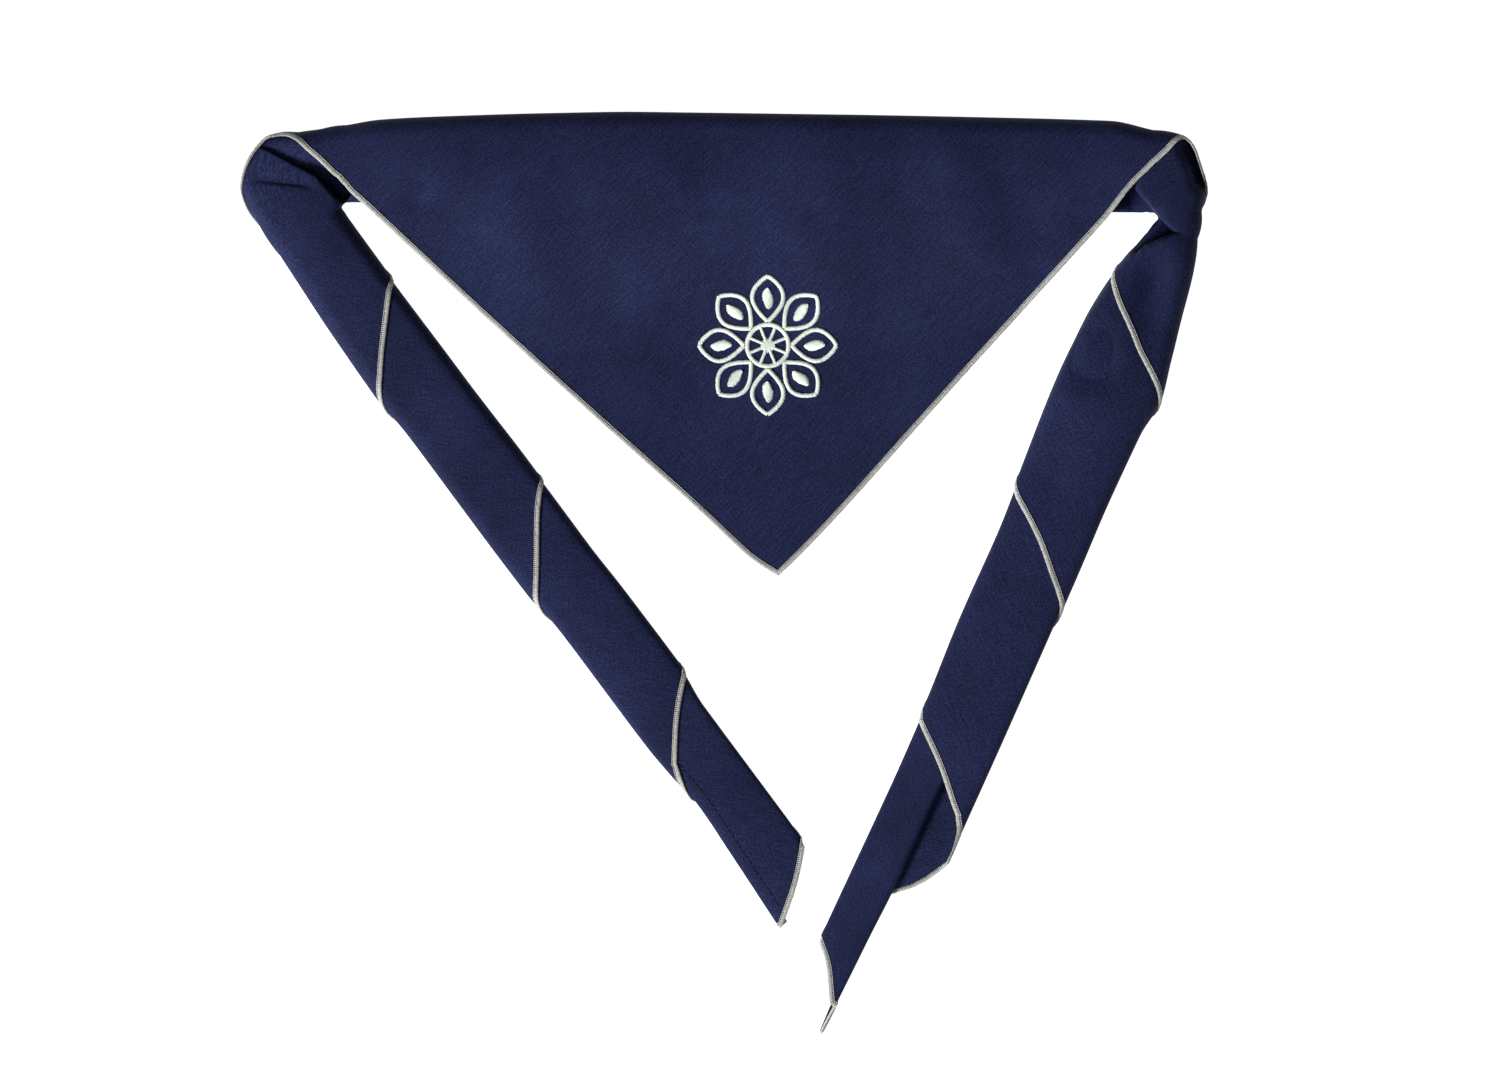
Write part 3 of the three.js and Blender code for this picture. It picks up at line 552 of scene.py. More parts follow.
# Spacing of the cloth's corners, fine where the cloth shows and coarse where it is hidden
NECK_STEP = 3.0
BEND_STEPS = 80
TAIL_STEP = 3.4
COARSE = 10
FLAP_STEP = 2.5
SHOWN_MARGIN = 0.03

# Least room before the edge, in stations on the roll and in millimetres on the flap, and the
# width below which the flap ends in a single corner
CLOSEST = 0.004
FLAP_CLOSEST = 1.2
FLAP_POINT = 1.0

# Between these turns, edges within reach of a sharp crease are split, unless they are short
SHOWN_TURNS = (2.93, 3.6)
CREASE_REACHES = (5.0, 2.5)
SHORT_EDGE = 0.6
SOFT_STEEP = 3.0


def lattice(side):
    """Stations from the middle of the neck to one tip, and which of them are coarse."""
    neck = np.linspace(0, 1, round(HALF_SPAN / NECK_STEP) + 1)
    bend = np.linspace(1, 2, BEND_STEPS + 1)[1:]
    tail = np.linspace(2, 3, round(side["tail"] / TAIL_STEP) + 1)[1:]
    fine = np.concatenate([neck, bend, tail])
    coarse = np.arange(len(fine)) % COARSE == 0
    return fine, coarse


def turn_lines():
    """The turns at which the cloth has a line of corners along the roll."""
    spans = [(START, END_SHARE, 5)]
    for whole in range(TURNS + 1):
        inner = whole + HALF_TURN
        if whole:
            spans.append((whole - END_SHARE, whole + END_SHARE, 10))
        top = {TURNS: 22, TURNS - 1: 32}.get(whole, 12)
        spans.append((whole + END_SHARE, inner - END_SHARE, top))
        if whole == TURNS:
            spans.append((inner - END_SHARE, LAST, 6))
        else:
            spans.append((inner - END_SHARE, inner + END_SHARE, 8))
            spans.append((inner + END_SHARE, whole + 1 - END_SHARE, 8))
    return np.unique(np.round(np.concatenate([np.linspace(*span) for span in spans]), 9))


def hem_path(side, a, b):
    """Corners of the edge between two turns, where it crosses the lattice of stations."""
    fine, _ = lattice(side)
    high = hem_station(side, a) - CLOSEST
    low = hem_station(side, b) + CLOSEST
    crossed = fine[(fine < high) & (fine > low)][::-1]
    return [(float(curve(side["hem"], "station", "turn", s)), float(s)) for s in crossed]


def roll_row(turn, before):
    """One line of corners along the roll, and the edge's corners before each of its ends."""
    ends = []
    for side, mirror in ((LEFT, -1), (RIGHT, 1)):
        fine, coarse = lattice(side)
        end = hem_station(side, turn)
        shown = hem_station(side, turn + 1) - SHOWN_MARGIN if turn + 1 < LAST else 0
        keep = (fine < end - CLOSEST) & ((fine >= shown) | coarse)
        edge = [] if before is None else hem_path(side, before, turn)
        ends.append((
            [(turn, mirror * s) for s in fine[keep]] + [(turn, mirror * end)],
            [(t, mirror * s) for t, s in edge],
        ))
    (left, left_edge), (right, right_edge) = ends
    return dict(main=left[:0:-1] + right, left=left_edge, right=right_edge[::-1])


def flap_hem(side, mirror, share):
    """Where the flap's edge lies at a share of the way to its point."""
    start = mirror * HALF_SPAN * hem_station(side, LAST)
    bow = sum(size * math.sin(math.pi * share**power) for size, power in side["hem_bow"])
    return lerp(start, FLAP_SHIFT, share) + mirror * bow


def flap_row(share):
    left = flap_hem(LEFT, -1, share)
    right = flap_hem(RIGHT, 1, share)
    steps = math.ceil(HALF_SPAN / FLAP_STEP)
    reach = np.arange(-steps, steps + 1) * FLAP_STEP
    inner = reach[(reach > left + FLAP_CLOSEST) & (reach < right - FLAP_CLOSEST)]
    row = [(left + right) / 2] if right - left < FLAP_POINT else [left, *inner, right]
    return dict(main=[(share, x) for x in row], left=[], right=[])


def zip_rows(rows, position):
    """Joins lines of corners, which may have different numbers of them, into triangles."""
    triangles = []

    def after(row, k):
        return position[row[k + 1]] + position[row[k]] if k + 1 < len(row) else math.inf

    for (a, _), (_, b) in zip(rows, rows[1:]):
        i = 0
        j = 0
        while i + 1 < len(a) or j + 1 < len(b):
            if after(a, i) <= after(b, j):
                triangles.append((a[i], b[j], a[i + 1]))
                i += 1
            else:
                triangles.append((a[i], b[j], b[j + 1]))
                j += 1
    return np.array(triangles)


def surface_points(corners, in_roll):
    points = np.zeros((len(corners), 3))
    points[in_roll] = roll_point(*corners[in_roll].T)
    points[~in_roll] = flap_point(*corners[~in_roll].T)
    return points


def splits_of(triangles, marks):
    """Triangles split at their marked edges: marks has the new corner of each edge, or -1."""
    split = marks >= 0
    parts = [triangles[~split.any(axis=0)]]
    for i in range(3):
        a, b, c = (triangles[:, (i + k) % 3] for k in range(3))
        ab, bc, ca = (marks[(i + k) % 3] for k in range(3))
        one = (ab >= 0) & (bc < 0) & (ca < 0)
        two = (ab >= 0) & (bc >= 0) & (ca < 0)
        for where, corners in ((one, (a, ab, c)), (one, (ab, b, c)), (two, (ab, b, bc)),
                               (two, (a, ab, bc)), (two, (a, bc, c))):
            parts.append(np.stack(corners, axis=1)[where])
    whole = split.all(axis=0)
    a, b, c = triangles.T
    ab, bc, ca = marks
    for corners in ((a, ab, ca), (ab, b, bc), (ca, bc, c), (ab, bc, ca)):
        parts.append(np.stack(corners, axis=1)[whole])
    return np.concatenate(parts)


def edges_of(triangles):
    return np.concatenate([triangles[:, [0, 1]], triangles[:, [1, 2]], triangles[:, [2, 0]]])


def refine(corners, triangles, in_roll, rim):
    """Splits the shown layer's triangles near the creases, so that these come out crisp."""
    on_rim = np.zeros(len(corners), bool)
    on_rim[rim] = True
    for reach in CREASE_REACHES:
        points = surface_points(corners, in_roll)
        sides = np.sort(edges_of(triangles), axis=1)
        edges, which = np.unique(sides, axis=0, return_inverse=True)
        turn = corners[edges, 0]
        chosen = ((turn > SHOWN_TURNS[0]) & (turn < SHOWN_TURNS[1])).all(axis=1)
        chosen &= in_roll[edges].all(axis=1) & ~on_rim[edges].all(axis=1)
        a, b = points[edges[:, 0]], points[edges[:, 1]]
        middle = (a + b) / 2
        near = np.full(len(edges), np.inf)
        for crease in CREASES:
            if not crease["top"] and crease["steep"] < SOFT_STEEP:
                away, _ = along_line(middle[:, 0], middle[:, 1], crease["line"])
                near = np.minimum(near, np.abs(away))
        chosen &= (near < reach) & (np.linalg.norm(a - b, axis=1) > SHORT_EDGE)
        fresh = np.full(len(edges), -1)
        fresh[chosen] = len(corners) + np.arange(chosen.sum())
        triangles = splits_of(triangles, fresh[which.reshape(3, -1)])
        corners = np.concatenate([corners, corners[edges[chosen]].mean(axis=1)])
        in_roll = np.concatenate([in_roll, np.ones(chosen.sum(), bool)])
        on_rim = np.concatenate([on_rim, np.zeros(chosen.sum(), bool)])
    return corners, triangles, in_roll


def walk_out(made, mirror, places, tangent, stretch):
    """Points and normals at the band's shares out from the edge, on the cloth's continuation."""
    here = places.copy()
    way = np.gradient(places, axis=0)
    step = 1e-3

    def look():
        a, b = here.T
        p = made(a, mirror * b)
        da = (made(a + step, mirror * b) - p) / step
        db = (made(a, mirror * (b + step)) - p) / step
        return p, da, db, unit(np.cross(da, db))

    p, da, db, normal = look()
    outside = -way[:, 1:] * da + way[:, :1] * db
    sign = np.sign((np.cross(tangent, normal) * outside).sum(axis=1, keepdims=True))
    points = [p]
    normals = [normal * mirror]
    for distance in np.diff(SHARES) * BAND_OUT:
        for _ in range(2):
            out = unit(np.cross(tangent, normal) * sign) * (distance * stretch / 2)[:, None]
            aa = dot(da, da)
            ab = dot(da, db)
            bb = dot(db, db)
            ao = dot(da, out)
            bo = dot(db, out)
            det = aa * bb - ab * ab
            here[:, 0] += (ao * bb - bo * ab) / det
            here[:, 1] += (bo * aa - ao * ab) / det
            p, da, db, normal = look()
        points.append(p)
        normals.append(normal * mirror)
    return np.stack(points, axis=1), np.stack(normals, axis=1)


def rim_grid(left, right, points, corners, in_roll):
    """The cloth's border as a grid: from the left tip over the point to the right tip, and out."""
    order = left + right[-2::-1]
    ends = points[order]
    come = unit(np.diff(ends, axis=0, prepend=ends[:1] * 2 - ends[1:2]))
    go = unit(np.diff(ends, axis=0, append=ends[-1:] * 2 - ends[-2:-1]))
    tangent = unit(come + go)
    stretch = np.minimum(1 / dot(tangent, go), MOST_STRETCH)
    grid = np.zeros((len(order), len(SHARES), 3))
    normals = np.zeros_like(grid)
    for path, mirror in ((left, -1), (right[:-1], 1)):
        for made in (roll_point, flap_point):
            chosen = [i for i in path if in_roll[i] == (made is roll_point)]
            at = [order.index(i) for i in chosen]
            places = corners[chosen] * [1, mirror]
            grid[at], normals[at] = walk_out(made, mirror, places, tangent[at], stretch[at])
    return order, grid, normals


def cloth_surface():
    """The middle surface of the whole cloth: points, triangles, places in the flat cloth, the
    rim, and points and normals of the band beyond the rim."""
    lines = turn_lines()
    roll = [roll_row(t, lines[i - 1] if i else None) for i, t in enumerate(lines)]
    flap_rows = round(FLAP_DROP / FLAP_STEP)
    flap = [flap_row(i / flap_rows) for i in range(1, flap_rows + 1)]
    corners = []
    rows = []
    left = []
    right = []
    for row in roll + flap:
        full = row["left"] + row["main"] + row["right"]
        first = len(corners)
        corners += full
        index = np.arange(first, len(corners))
        main = index[len(row["left"]):len(full) - len(row["right"])]
        rows.append((main, index))
        left += list(index[:len(row["left"]) + 1])
        right += list(index[len(full) - len(row["right"]) - 1:][::-1])
        if len(rows) == len(roll):
            roll_count = len(corners)
    corners = np.array(corners)
    in_roll = np.arange(len(corners)) < roll_count
    order = np.where(in_roll, corners[:, 1], corners[:, 1] / HALF_SPAN)
    triangles = zip_rows(rows, order)
    corners, triangles, in_roll = refine(corners, triangles, in_roll, left + right)
    points = surface_points(corners, in_roll)
    places = flat_places(corners, in_roll, lines)
    rim, grid, normals = rim_grid(left, right, points, corners, in_roll)
    return points, triangles, places, rim, grid, normals


def with_border(points, triangles, places, rim, grid):
    """The cloth's surface grown by the strip that the edging's threads wrap."""
    columns = [rim]
    for column in BORDER_COLUMNS:
        columns.append(list(len(points) + np.arange(len(rim))))
        points = np.concatenate([points, grid[:, column]])
        out = SHARES[column] * BAND_OUT * np.array([1, 0])
        places = np.concatenate([places, places[rim] + out])
    index = np.array(columns).T
    a = index[:-1, :-1].ravel()
    b = index[1:, :-1].ravel()
    c = index[1:, 1:].ravel()
    d = index[:-1, 1:].ravel()
    strip = np.concatenate([np.stack([a, d, c], axis=1), np.stack([a, c, b], axis=1)])
    return points, np.concatenate([triangles, strip]), places


def flat_places(corners, in_roll, lines):
    """Where each corner lies in the flat cloth, along its two straight grains."""
    wound = run_along(roll_point(lines, np.zeros(len(lines))))
    turn, station = corners.T
    s = np.abs(station)
    bend = side_value("bend", station) * ROLL_WIDTH * BEND_RUN
    tail = side_value("tail", station)
    reach = HALF_SPAN * np.minimum(s, 1) + bend * np.clip(s - 1, 0, 1)
    reach = reach + tail * np.clip(s - 2, 0, None)
    along = np.where(in_roll, np.sign(station) * reach, station)
    down = np.where(in_roll, np.interp(turn, lines, wound), wound[-1] + turn * FLAP_DROP)
    return np.stack([along + down, along - down], axis=1) / math.sqrt(2)


def corner_normals(points, triangles):
    p, q, r = (points[triangles[:, i]] for i in range(3))
    face = np.cross(q - p, r - p)
    normals = np.zeros_like(points)
    for i in range(3):
        np.add.at(normals, triangles[:, i], face)
    return unit(normals)


def thicken(points, triangles):
    """A closed wall round a surface: both faces and the rim between them."""
    normals = corner_normals(points, triangles)
    count = len(points)
    both = np.concatenate([points + normals * WALL / 2, points - normals * WALL / 2])
    edges = edges_of(triangles)
    codes = edges[:, 0] * count + edges[:, 1]
    twins = edges[:, 1] * count + edges[:, 0]
    rim = edges[~np.isin(codes, twins)]
    side_a = np.stack([rim[:, 0], count + rim[:, 0], rim[:, 1]], axis=1)
    side_b = np.stack([rim[:, 1], count + rim[:, 0], count + rim[:, 1]], axis=1)
    faces = np.concatenate([triangles, count + triangles[:, ::-1], side_a, side_b])
    return both, faces


def add_mesh(name, points, faces, material):
    """A mesh object from points in millimetres, measured from the middle of the neck."""
    placed = (points + np.array([NECK_X, NECK_Y, 0])) * MM
    mesh = bpy.data.meshes.new(name)
    size = faces.shape[1]
    mesh.vertices.add(len(placed))
    mesh.vertices.foreach_set("co", placed.astype(np.float32).ravel())
    mesh.loops.add(faces.size)
    mesh.loops.foreach_set("vertex_index", faces.astype(np.int32).ravel())
    mesh.polygons.add(len(faces))
    mesh.polygons.foreach_set("loop_start", np.arange(0, faces.size, size, dtype=np.int32))
    mesh.update(calc_edges=True)
    mesh.validate()
    mesh.polygons.foreach_set("use_smooth", np.ones(len(mesh.polygons), bool))
    mesh.materials.append(material)
    return add_object(name, mesh)


def set_place(piece, places):
    """Keeps each corner's place in the flat cloth, in millimetres, for the weave."""
    attribute = piece.data.attributes.new("flat_place", "FLOAT_VECTOR", "POINT")
    values = np.zeros((len(places), 3), np.float32)
    values[:, :2] = places
    attribute.data.foreach_set("vector", values.ravel())


# Materials


def put(node, **values):
    """Sets a node's inputs, named with underscores for spaces."""
    for key, value in values.items():
        node.inputs[key.replace("_", " ")].default_value = value


class Nodes:
    """A material's nodes, made one by one and linked by name."""

    def __init__(self, name):
        self.material = bpy.data.materials.new(name)
        self.material.use_nodes = True
        self.tree = self.material.node_tree
        self.tree.nodes.clear()
        self.shader = self.add("ShaderNodeBsdfPrincipled")
        output = self.add("ShaderNodeOutputMaterial")
        self.link((self.shader, "BSDF"), output, "Surface")

    def add(self, kind, **settings):
        node = self.tree.nodes.new(kind)
        for key, value in settings.items():
            setattr(node, key, value)
        return node

    def link(self, source, target, socket):
        """Links a (node, output) pair to a socket."""
        self.tree.links.new(source[0].outputs[source[1]], target.inputs[socket])

    def math(self, operation, a, b=None):
        """A math node on numbers or on (node, output) pairs."""
        node = self.add("ShaderNodeMath", operation=operation)
        for i, value in enumerate([a, b]):
            if isinstance(value, tuple):
                self.link(value, node, i)
            elif value is not None:
                node.inputs[i].default_value = value
        return node, "Value"

    def blend(self, *parts):
        """The sum of (node, output) pairs, each times its number."""
        total = None
        for part, factor in parts:
            share = self.math("MULTIPLY", part, factor)
            total = self.math("ADD", total, share) if total else share
        return total

    def noise(self, vector, scale, detail=2.0, roughness=0.5):
        node = self.add("ShaderNodeTexNoise")
        put(node, Scale=scale, Detail=detail, Roughness=roughness)
        self.link(vector, node, "Vector")
        return node, "Fac"

    def scaled(self, vector, x, y):
        node = self.add("ShaderNodeMapping")
        put(node, Scale=(x, y, 1))
        self.link(vector, node, "Vector")
        return node, "Vector"

    def ramp(self, factor, *stops):
        node = self.add("ShaderNodeValToRGB")
        ramp = node.color_ramp
        ramp.elements[0].position, ramp.elements[0].color = stops[0][0], (*stops[0][1], 1)
        ramp.elements[1].position, ramp.elements[1].color = stops[-1][0], (*stops[-1][1], 1)
        for position, colour in stops[1:-1]:
            ramp.elements.new(position).color = (*colour, 1)
        self.link(factor, node, "Fac")
        return node, "Color"

    def bump(self, height, strength, distance, normal=None):
        node = self.add("ShaderNodeBump")
        put(node, Strength=strength, Distance=distance)
        self.link(height, node, "Height")
        if normal:
            self.link(normal, node, "Normal")
        return node, "Normal"


# Pitch of the weave in millimetres
YARN = 0.42


def navy_cotton():
    """Plain-woven cotton with uneven yarns and a faint lustre."""
    made = Nodes("navy_cotton")
    place = made.add("ShaderNodeAttribute", attribute_name="flat_place"), "Vector"
    split = made.add("ShaderNodeSeparateXYZ")
    made.link(place, split, "Vector")
    waves = []
    for axis in ("X", "Y"):
        turn = made.math("MULTIPLY", (split, axis), 2 * math.pi / YARN)
        waves.append(made.math("SINE", turn))
    woven = made.math("MULTIPLY", waves[0], waves[1])
    warp_slubs = made.noise(made.scaled(place, 0.09, 1.9), 1.0, 3.0, 0.6)
    weft_slubs = made.noise(made.scaled(place, 1.9, 0.09), 1.0, 3.0, 0.6)
    slubs = made.blend((warp_slubs, 0.6), (weft_slubs, 1.4))
    clouds = made.noise(made.scaled(place, 0.02, 0.02), 1.0, 2.0, 0.5)
    grain = made.noise(made.scaled(place, 1.0, 1.0), 1.0, 3.0, 0.8)
    colour = made.ramp(
        made.blend((slubs, 0.26), (grain, 0.8), (clouds, 0.2)),
        (0.64, (0.0018, 0.0030, 0.0130)),
        (0.76, (0.0054, 0.0080, 0.0330)),
        (0.88, (0.0130, 0.0175, 0.0620)),
    )
    made.link(colour, made.shader, "Base Color")
    weave = made.bump(woven, 0.35, 0.00008)
    uneven = made.bump(slubs, 0.5, 0.00025, weave)
    made.link(uneven, made.shader, "Normal")
    put(made.shader, Roughness=0.78, Specular_IOR_Level=0.1)
    put(made.shader, Sheen_Weight=0.04, Sheen_Roughness=0.4, Sheen_Tint=(0.5, 0.6, 1.0, 1))
    return made.material


def thread(name, dark, light, roughness, sheen):
    """Spun thread, with a fine uneven tone along it."""
    made = Nodes(name)
    place = made.add("ShaderNodeTexCoord"), "Object"
    tone = made.noise(place, 900.0, 2.0, 0.6)
    slow = made.noise(place, 60.0, 2.0, 0.5)
    colour = made.ramp(made.blend((tone, 0.6), (slow, 0.4)), (0.3, dark), (0.65, light))
    made.link(colour, made.shader, "Base Color")
    fibres = made.bump(made.noise(place, 2600.0, 2.0, 0.7), 0.3, 0.00006)
    made.link(fibres, made.shader, "Normal")
    put(made.shader, Roughness=roughness, Specular_IOR_Level=0.35)
    put(made.shader, Sheen_Weight=sheen, Sheen_Roughness=0.35)
    return made.material


NAVY = navy_cotton()
GREY = thread("grey_thread", (0.235, 0.235, 0.217), (0.43, 0.43, 0.4), 0.7, 0.15)
WHITE = thread("white_thread", (0.46, 0.5, 0.45), (0.68, 0.72, 0.66), 0.5, 0.2)
# Navy thread for the long side's stitches, painted near black, far darker than the cloth, as
# painted shade of their stitch holes
PAINTED_SHADE_THREAD = thread("navy_thread_painted_shade", (0.0005, 0.0007, 0.002), (0.001, 0.0014, 0.004), 0.9, 0.0)


def keep(piece, slot, *nodes):
    """Ties a finished piece to the frame."""
    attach(piece, "root")
    if nodes:
        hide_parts(*nodes)
    return piece


# Cloth

*surface, rim, rim_points, rim_normals = cloth_surface()
cloth_points, cloth_triangles, cloth_places = with_border(*surface, rim, rim_points)
cloth = add_mesh("cloth_sheet", *thicken(cloth_points, cloth_triangles), NAVY)
set_place(cloth, np.concatenate([cloth_places, cloth_places]))
keep(cloth, "navy_cotton", "cloth")


# Overlocked edge

STITCH = 0.95
BEAD_SHARE = 0.405
BEAD_HEIGHT = 0.38
WRAP = table(
    "share spread radius height",
    (0.42, 0.02, 0.13, 0.24), (0.5, 0.03, 0.14, 0.44), (0.585, 0.22, 0.26, 0.46),
    (0.7, 0.25, 0.26, 0.46), (0.82, 0.25, 0.26, 0.44), (0.94, 0.25, 0.26, 0.22),
    (0.94, 0.25, 0.26, -0.22), (0.82, 0.25, 0.26, -0.44), (0.6, 0.2, 0.2, -0.46),
    (0.42, 0.1, 0.14, -0.24),
)
BEAD = table("along radius", (-0.47, 0.08), (-0.25, 0.27), (0.25, 0.27), (0.47, 0.08))

# The bare end past the right tip: its strands, their radius, how far they lie from its middle at
# its two ends, the length of one twist, and its first place as a share of its length
THREAD_TAIL = 16.0
STRANDS = 3
STRAND_RADII = (0.95, 0.75)
STRAND_REACHES = (0.95, 0.4)
TWIST = 110.0
TAIL_START = 3.0
TAIL_FROM = -0.13
TAIL_POINTS = 44
TAIL_HEIGHT = 1.1
TAPER = 0.12
BLUNT = 0.3
TAIL_UP = (0.3, 0.2, 1.0)
TAIL_LOWEST = 0.05


def in_ribbon(grid, along, share):
    """Reads a grid at fractional rows and shares."""
    along = np.clip(along, 0, len(grid) - 1.001)
    i = along.astype(int)
    f = (along - i)[..., None]
    at = np.clip(np.interp(share, SHARES, np.arange(len(SHARES))), 0, len(SHARES) - 1.001)
    j = at.astype(int)
    g = (at - j)[..., None]
    near = lerp(grid[i, j], grid[i, j + 1], g)
    far = lerp(grid[i + 1, j], grid[i + 1, j + 1], g)
    return lerp(near, far, f)


# Sides of each thread, and a direction along which no thread runs
SIDES = 4
NEARLY_UP = (0.02, 0.03, 1.0)


def tubes(paths, radii, up):
    """Tubes along many paths with equal numbers of points, one mesh's points and faces."""
    count, steps, _ = paths.shape
    tangent = unit(np.gradient(paths, axis=1))
    across = unit(np.cross(tangent, up))
    over = np.cross(across, tangent)
    angles = np.arange(SIDES) / SIDES * 2 * math.pi + math.pi / SIDES
    aside, above = np.cos(angles)[:, None], np.sin(angles)[:, None]
    rings = across[:, :, None] * aside + over[:, :, None] * above
    points = paths[:, :, None] + rings * np.broadcast_to(radii, (count, steps))[:, :, None, None]
    ring = np.arange(SIDES)
    quad = np.stack([ring, (ring + 1) % SIDES, SIDES + (ring + 1) % SIDES, SIDES + ring], axis=1)
    along = (np.arange(steps - 1) * SIDES)[:, None, None] + quad
    caps = np.stack([ring[::-1], ring + (steps - 1) * SIDES])
    body = np.concatenate([along.reshape(-1, SIDES), caps])
    faces = (np.arange(count) * steps * SIDES)[:, None, None] + body
    return points.reshape(-1, 3), faces.reshape(-1, SIDES)


def stitch_places(points):
    """Fractional rows of the rim's grid at an even spacing of one stitch."""
    run = run_along(points[:, len(SHARES) // 2])
    at = np.arange(STITCH / 2, run[-1], STITCH)
    rows = np.arange(len(run))
    ahead = np.interp(at + STITCH / 2, run, rows) - np.interp(at - STITCH / 2, run, rows)
    return np.interp(at, run, rows), ahead


def overlock(name, points, normals):
    """The threads over a stretch of the edge: a pair for each stitch, and a chain of beads."""
    at, ahead = stitch_places(points)
    stitches = len(at)

    def laid(along, share):
        return in_ribbon(points, along, share), in_ribbon(normals, along, share)

    paths = []
    ups = []
    for way in (-1, 1):
        wander = rng.normal(0, 0.03, (stitches, 1))
        along = at[:, None] + ahead[:, None] * (way * WRAP["spread"] + wander)
        share = WRAP["share"] + rng.normal(0, 0.01, (stitches, 1))
        p, n = laid(along, share)
        rise = WRAP["height"] * (1 + rng.normal(0, 0.06, (stitches, 1)))
        paths.append(p + n * rise[..., None])
        ups.append(n)
    wraps = tubes(np.concatenate(paths), WRAP["radius"], np.concatenate(ups) + 1e-3)
    along = at[:, None] + ahead[:, None] * BEAD["along"]
    share = BEAD_SHARE + rng.normal(0, 0.008, along.shape)
    p, n = laid(along, share)
    beads = tubes(p + n * BEAD_HEIGHT, BEAD["radius"], n)
    all_points = np.concatenate([wraps[0], beads[0]])
    all_points[:, 2] = np.maximum(all_points[:, 2], 0)
    faces = np.concatenate([wraps[1], beads[1] + len(wraps[0])])
    return add_mesh(name, all_points, faces, GREY)


half = rim.index(max(rim))
edging = [
    overlock("overlock_left", rim_points[:half + 1], rim_normals[:half + 1]),
    overlock("overlock_right", rim_points[half:], rim_normals[half:]),
]
for threads in edging:
    keep(threads, "grey_thread", "edging")


def thread_tail(name, strands, material):
    """Some strands of the bare end that runs on past the right tip, hardly twisted."""
    way = unit(roll_point([END_SHARE], [3.0]) - roll_point([END_SHARE], [2.99]))[0]
    across = np.array([way[1], -way[0], 0])
    share = np.linspace(TAIL_FROM, 1, TAIL_POINTS)
    start = roll_point([0], [3])[0] + across / 2
    middle = start + way * (TAIL_START + share * THREAD_TAIL)[:, None]
    middle[:, 2] = TAIL_HEIGHT
    reach = lerp(*STRAND_REACHES, share)[:, None]
    paths = []
    for strand in strands:
        angle = 2 * math.pi * (strand / STRANDS - share * THREAD_TAIL / TWIST)
        ring = across * np.cos(angle)[:, None] + Z * np.sin(angle)[:, None] / 2
        paths.append(middle + reach * ring)
    up = np.broadcast_to(TAIL_UP, (len(paths), len(share), 3))
    taper = np.minimum(1, np.minimum(share - share[0], 1 - share) / TAPER + BLUNT)
    points, faces = tubes(np.array(paths), lerp(*STRAND_RADII, share) * taper, up)
    points[:, 2] = np.maximum(points[:, 2], TAIL_LOWEST)
    return add_mesh(name, points, faces, material)


edging.append(keep(thread_tail("tail_threads", (1, 2), GREY), "grey_thread"))
edging.append(keep(thread_tail("tail_cloth", (0,), NAVY), "navy_cotton"))


# Embroidered rosette

ROSETTE_RADIUS = 34.0
PETALS = 8
PETAL_WIDTH = 17.0
PETAL_ROOT = 10.5
LINE_WIDTH = 2.0
RING_RADIUS = 9.0
EYE_RADIUS = 3.4
SPOKE = (EYE_RADIUS * 0.6, RING_RADIUS + 0.8)
LEAF = (17.5, 27.5)
LEAF_WIDTH = 2.6
SATIN_PITCH = 0.34
SATIN_RADIUS = 0.21
SATIN_LOOK = 0.4
SATIN = table(
    "across rise",
    (-1, -0.1), (-0.82, 0.45), (-0.35, 0.72), (0.35, 0.72), (0.82, 0.45), (1, -0.1),
)


def flap_height(x, y):
    """Height of the flap's middle surface below a place."""
    slant = -x / HALF_SPAN * NECK_TILT / 2
    share = (y - slant - CORNER_RADIUS) / (-FLAP_DROP - slant - CORNER_RADIUS)
    return flap_point(share, x)[:, 2]


def satin(line, half_width, closed=False, slant=0.18):
    """Threads laid across a line of points in the rosette's plane, side by side."""
    line = np.array(line, float)
    if closed:
        line = np.concatenate([line, line[:1]])
    run = run_along(line)
    at = np.arange(SATIN_PITCH / 2, run[-1], SATIN_PITCH)

    def place(where):
        where = np.clip(where, 0, run[-1])
        return np.array([np.interp(where, run, column) for column in line.T])

    x, y = place(at)
    tx, ty = place(at + SATIN_LOOK) - place(at - SATIN_LOOK)
    size = np.hypot(tx, ty)
    tx /= size
    ty /= size
    widths = np.atleast_1d(half_width)
    half = np.interp(at / run[-1], np.linspace(0, 1, len(widths)), widths)
    ends = rng.normal(1, 0.06, (2, len(at)))
    across = SATIN["across"]
    scale = np.where(across < 0, ends[0][:, None], ends[1][:, None]) * half[:, None]
    wide = across * scale
    px = x[:, None] - ty[:, None] * wide + tx[:, None] * wide * slant
    py = y[:, None] + tx[:, None] * wide + ty[:, None] * wide * slant
    return np.stack([px, py, np.broadcast_to(SATIN["rise"], px.shape)], axis=2)


def turned(points, angle):
    c = math.cos(angle)
    s = math.sin(angle)
    points = np.array(points, float)
    return np.stack([points[:, 0] * c - points[:, 1] * s, points[:, 0] * s + points[:, 1] * c], 1)


def petal_side(way, inset):
    """One side of a pointed petal, from its root to its tip, inset from the petal's outline."""
    share = np.linspace(0, 1, 30)
    swell = np.sin(math.pi * share**1.15) ** 0.8
    half = (PETAL_WIDTH / 2 - inset) * swell
    return np.stack([way * half, lerp(PETAL_ROOT + inset, ROSETTE_RADIUS - inset, share)], axis=1)


def ray(start, end, count):
    return np.stack([np.zeros(count), np.linspace(start, end, count)], axis=1)


def circle(radius):
    angle = np.linspace(0, 2 * math.pi, 73)[:-1]
    return np.stack([np.cos(angle), np.sin(angle)], axis=1) * radius


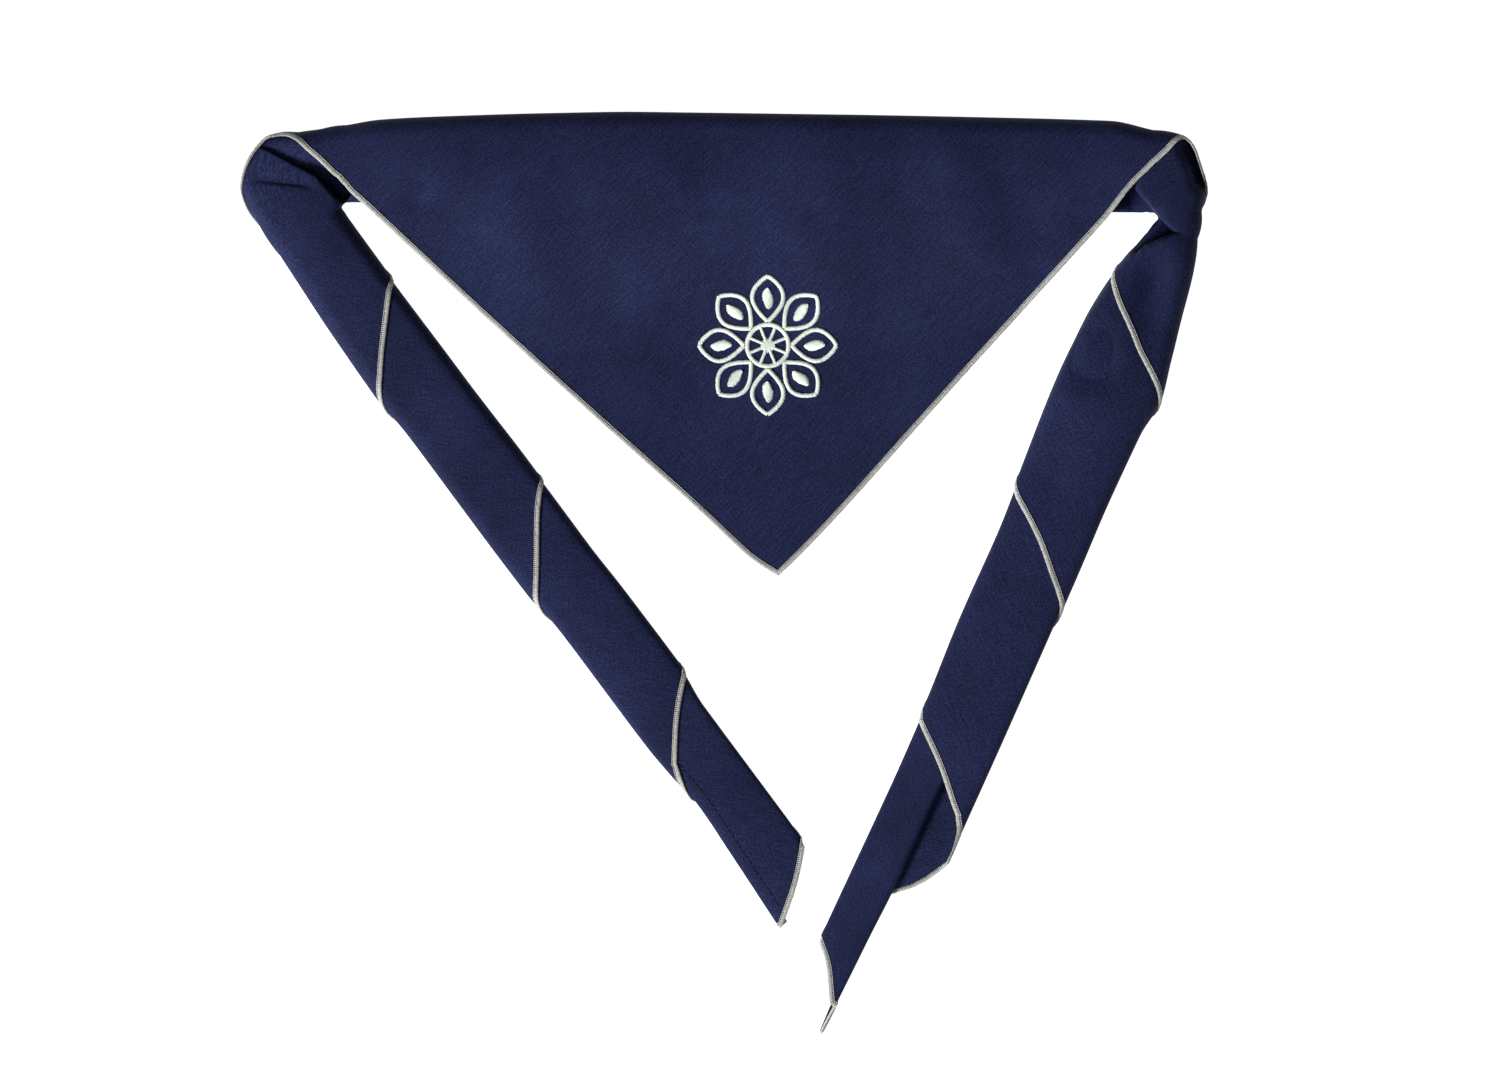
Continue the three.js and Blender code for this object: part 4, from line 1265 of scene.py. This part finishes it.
def rosette_threads():
    """All threads of the rosette: petals, leaves, spokes, ring and disc."""
    threads = []
    half = LINE_WIDTH / 2
    for i in range(PETALS):
        angle = i / PETALS * 2 * math.pi
        for way in (-1, 1):
            threads.append(satin(turned(petal_side(way, half), angle), half * 0.95))
        width = LEAF_WIDTH * np.sin(np.linspace(0.12, math.pi - 0.05, 20)) ** 0.8
        threads.append(satin(turned(ray(*LEAF, 20), angle), width, slant=0.45))
        between = angle + math.pi / PETALS
        threads.append(satin(turned(ray(*SPOKE, 6), between), LINE_WIDTH / 3))
    threads.append(satin(circle(RING_RADIUS + half), half, closed=True))
    disc = ray(-EYE_RADIUS, EYE_RADIUS, 30)[:, ::-1]
    chord = np.sqrt(np.maximum(EYE_RADIUS**2 - disc[:, 0] ** 2, 0.05))
    threads.append(satin(disc, chord, slant=0))
    return np.concatenate(threads)


def add_rosette():
    paths = rosette_threads()
    count, steps, _ = paths.shape
    x = paths[:, :, 0] + ROSETTE_RIGHT
    y = paths[:, :, 1] - ROSETTE_DOWN
    ground = flap_height(x.ravel(), y.ravel()).reshape(count, steps)
    z = ground + WALL / 2 + paths[:, :, 2] + rng.normal(0, 0.03, (count, 1))
    placed = np.stack([x, y, z], axis=2)
    up = np.broadcast_to(NEARLY_UP, placed.shape)
    return add_mesh("satin_rosette", *tubes(placed, SATIN_RADIUS, up), WHITE)


rosette = keep(add_rosette(), "white_thread", "embroidered_rosette")


# Stitching along the folded long side

STITCH_PITCH = 3.0
STITCH_SHARE = 0.75
LAST_STITCH = 2.985
STITCH_TURN = 0.137
STITCH_RADIUS = 0.24
STITCH_RISE = np.array([-0.05, 0.12, 0.15, 0.12, -0.05])


def long_side_stitches():
    """Short machine stitches along the folded long side, where the left tail shows it, in navy
    thread painted near black as the shade of their stitch holes.
    """
    pitch = STITCH_PITCH / LEFT_TAIL
    paths = []
    for s in np.arange(hem_station(LEFT, 1.1) - 0.02, LAST_STITCH, pitch):
        stations = -np.linspace(s, s + pitch * STITCH_SHARE, len(STITCH_RISE))
        p = roll_point(np.full(len(stations), STITCH_TURN), stations)
        paths.append(p + Z * (STITCH_RISE + WALL / 2)[:, None])
    up = np.broadcast_to(NEARLY_UP, (*np.shape(paths)[:2], 3))
    return add_mesh("long_side_stitches", *tubes(np.array(paths), STITCH_RADIUS, up), PAINTED_SHADE_THREAD)


stitches = keep(long_side_stitches(), "navy_cotton")


# Stage

FLOOR_HALF = 4.0


def add_floor():
    """A plain floor that glows white, far wider than the view."""
    mesh = bpy.data.meshes.new("floor")
    corners = [(x * FLOOR_HALF, y * FLOOR_HALF, 0) for x, y in ((-1, -1), (1, -1), (1, 1), (-1, 1))]
    mesh.from_pydata(corners, [], [(0, 1, 2, 3)])
    made = Nodes("floor_white")
    put(made.shader, Base_Color=(0.4, 0.4, 0.4, 1), Roughness=0.9, Specular_IOR_Level=0.0)
    put(made.shader, Emission_Color=(1, 1, 1, 1), Emission_Strength=1.0)
    mesh.materials.append(made.material)
    add_object("floor", mesh)


def add_light(name, location, size, power):
    """A square light that faces the middle of the part. Metres and watts."""
    data = bpy.data.lights.new(name, "AREA")
    data.size = size
    data.energy = power
    light = add_object(name, data)
    light.location = location
    light.rotation_euler = (-Vector(location)).to_track_quat("-Z", "Y").to_euler()


def add_world():
    """Even, weak light from all round."""
    world = bpy.data.worlds.new("studio")
    world.use_nodes = True
    background = world.node_tree.nodes["Background"]
    put(background, Color=(1, 1, 1, 1), Strength=0.14)
    bpy.context.scene.world = world


add_floor()
add_light("key", (-3.6, -2.7, 2.75), 1.4, 665)
add_light("fill", (-0.3, -1.2, 1.9), 1.2, 15)
add_world()
bpy.context.scene.view_settings.view_transform = "Standard"
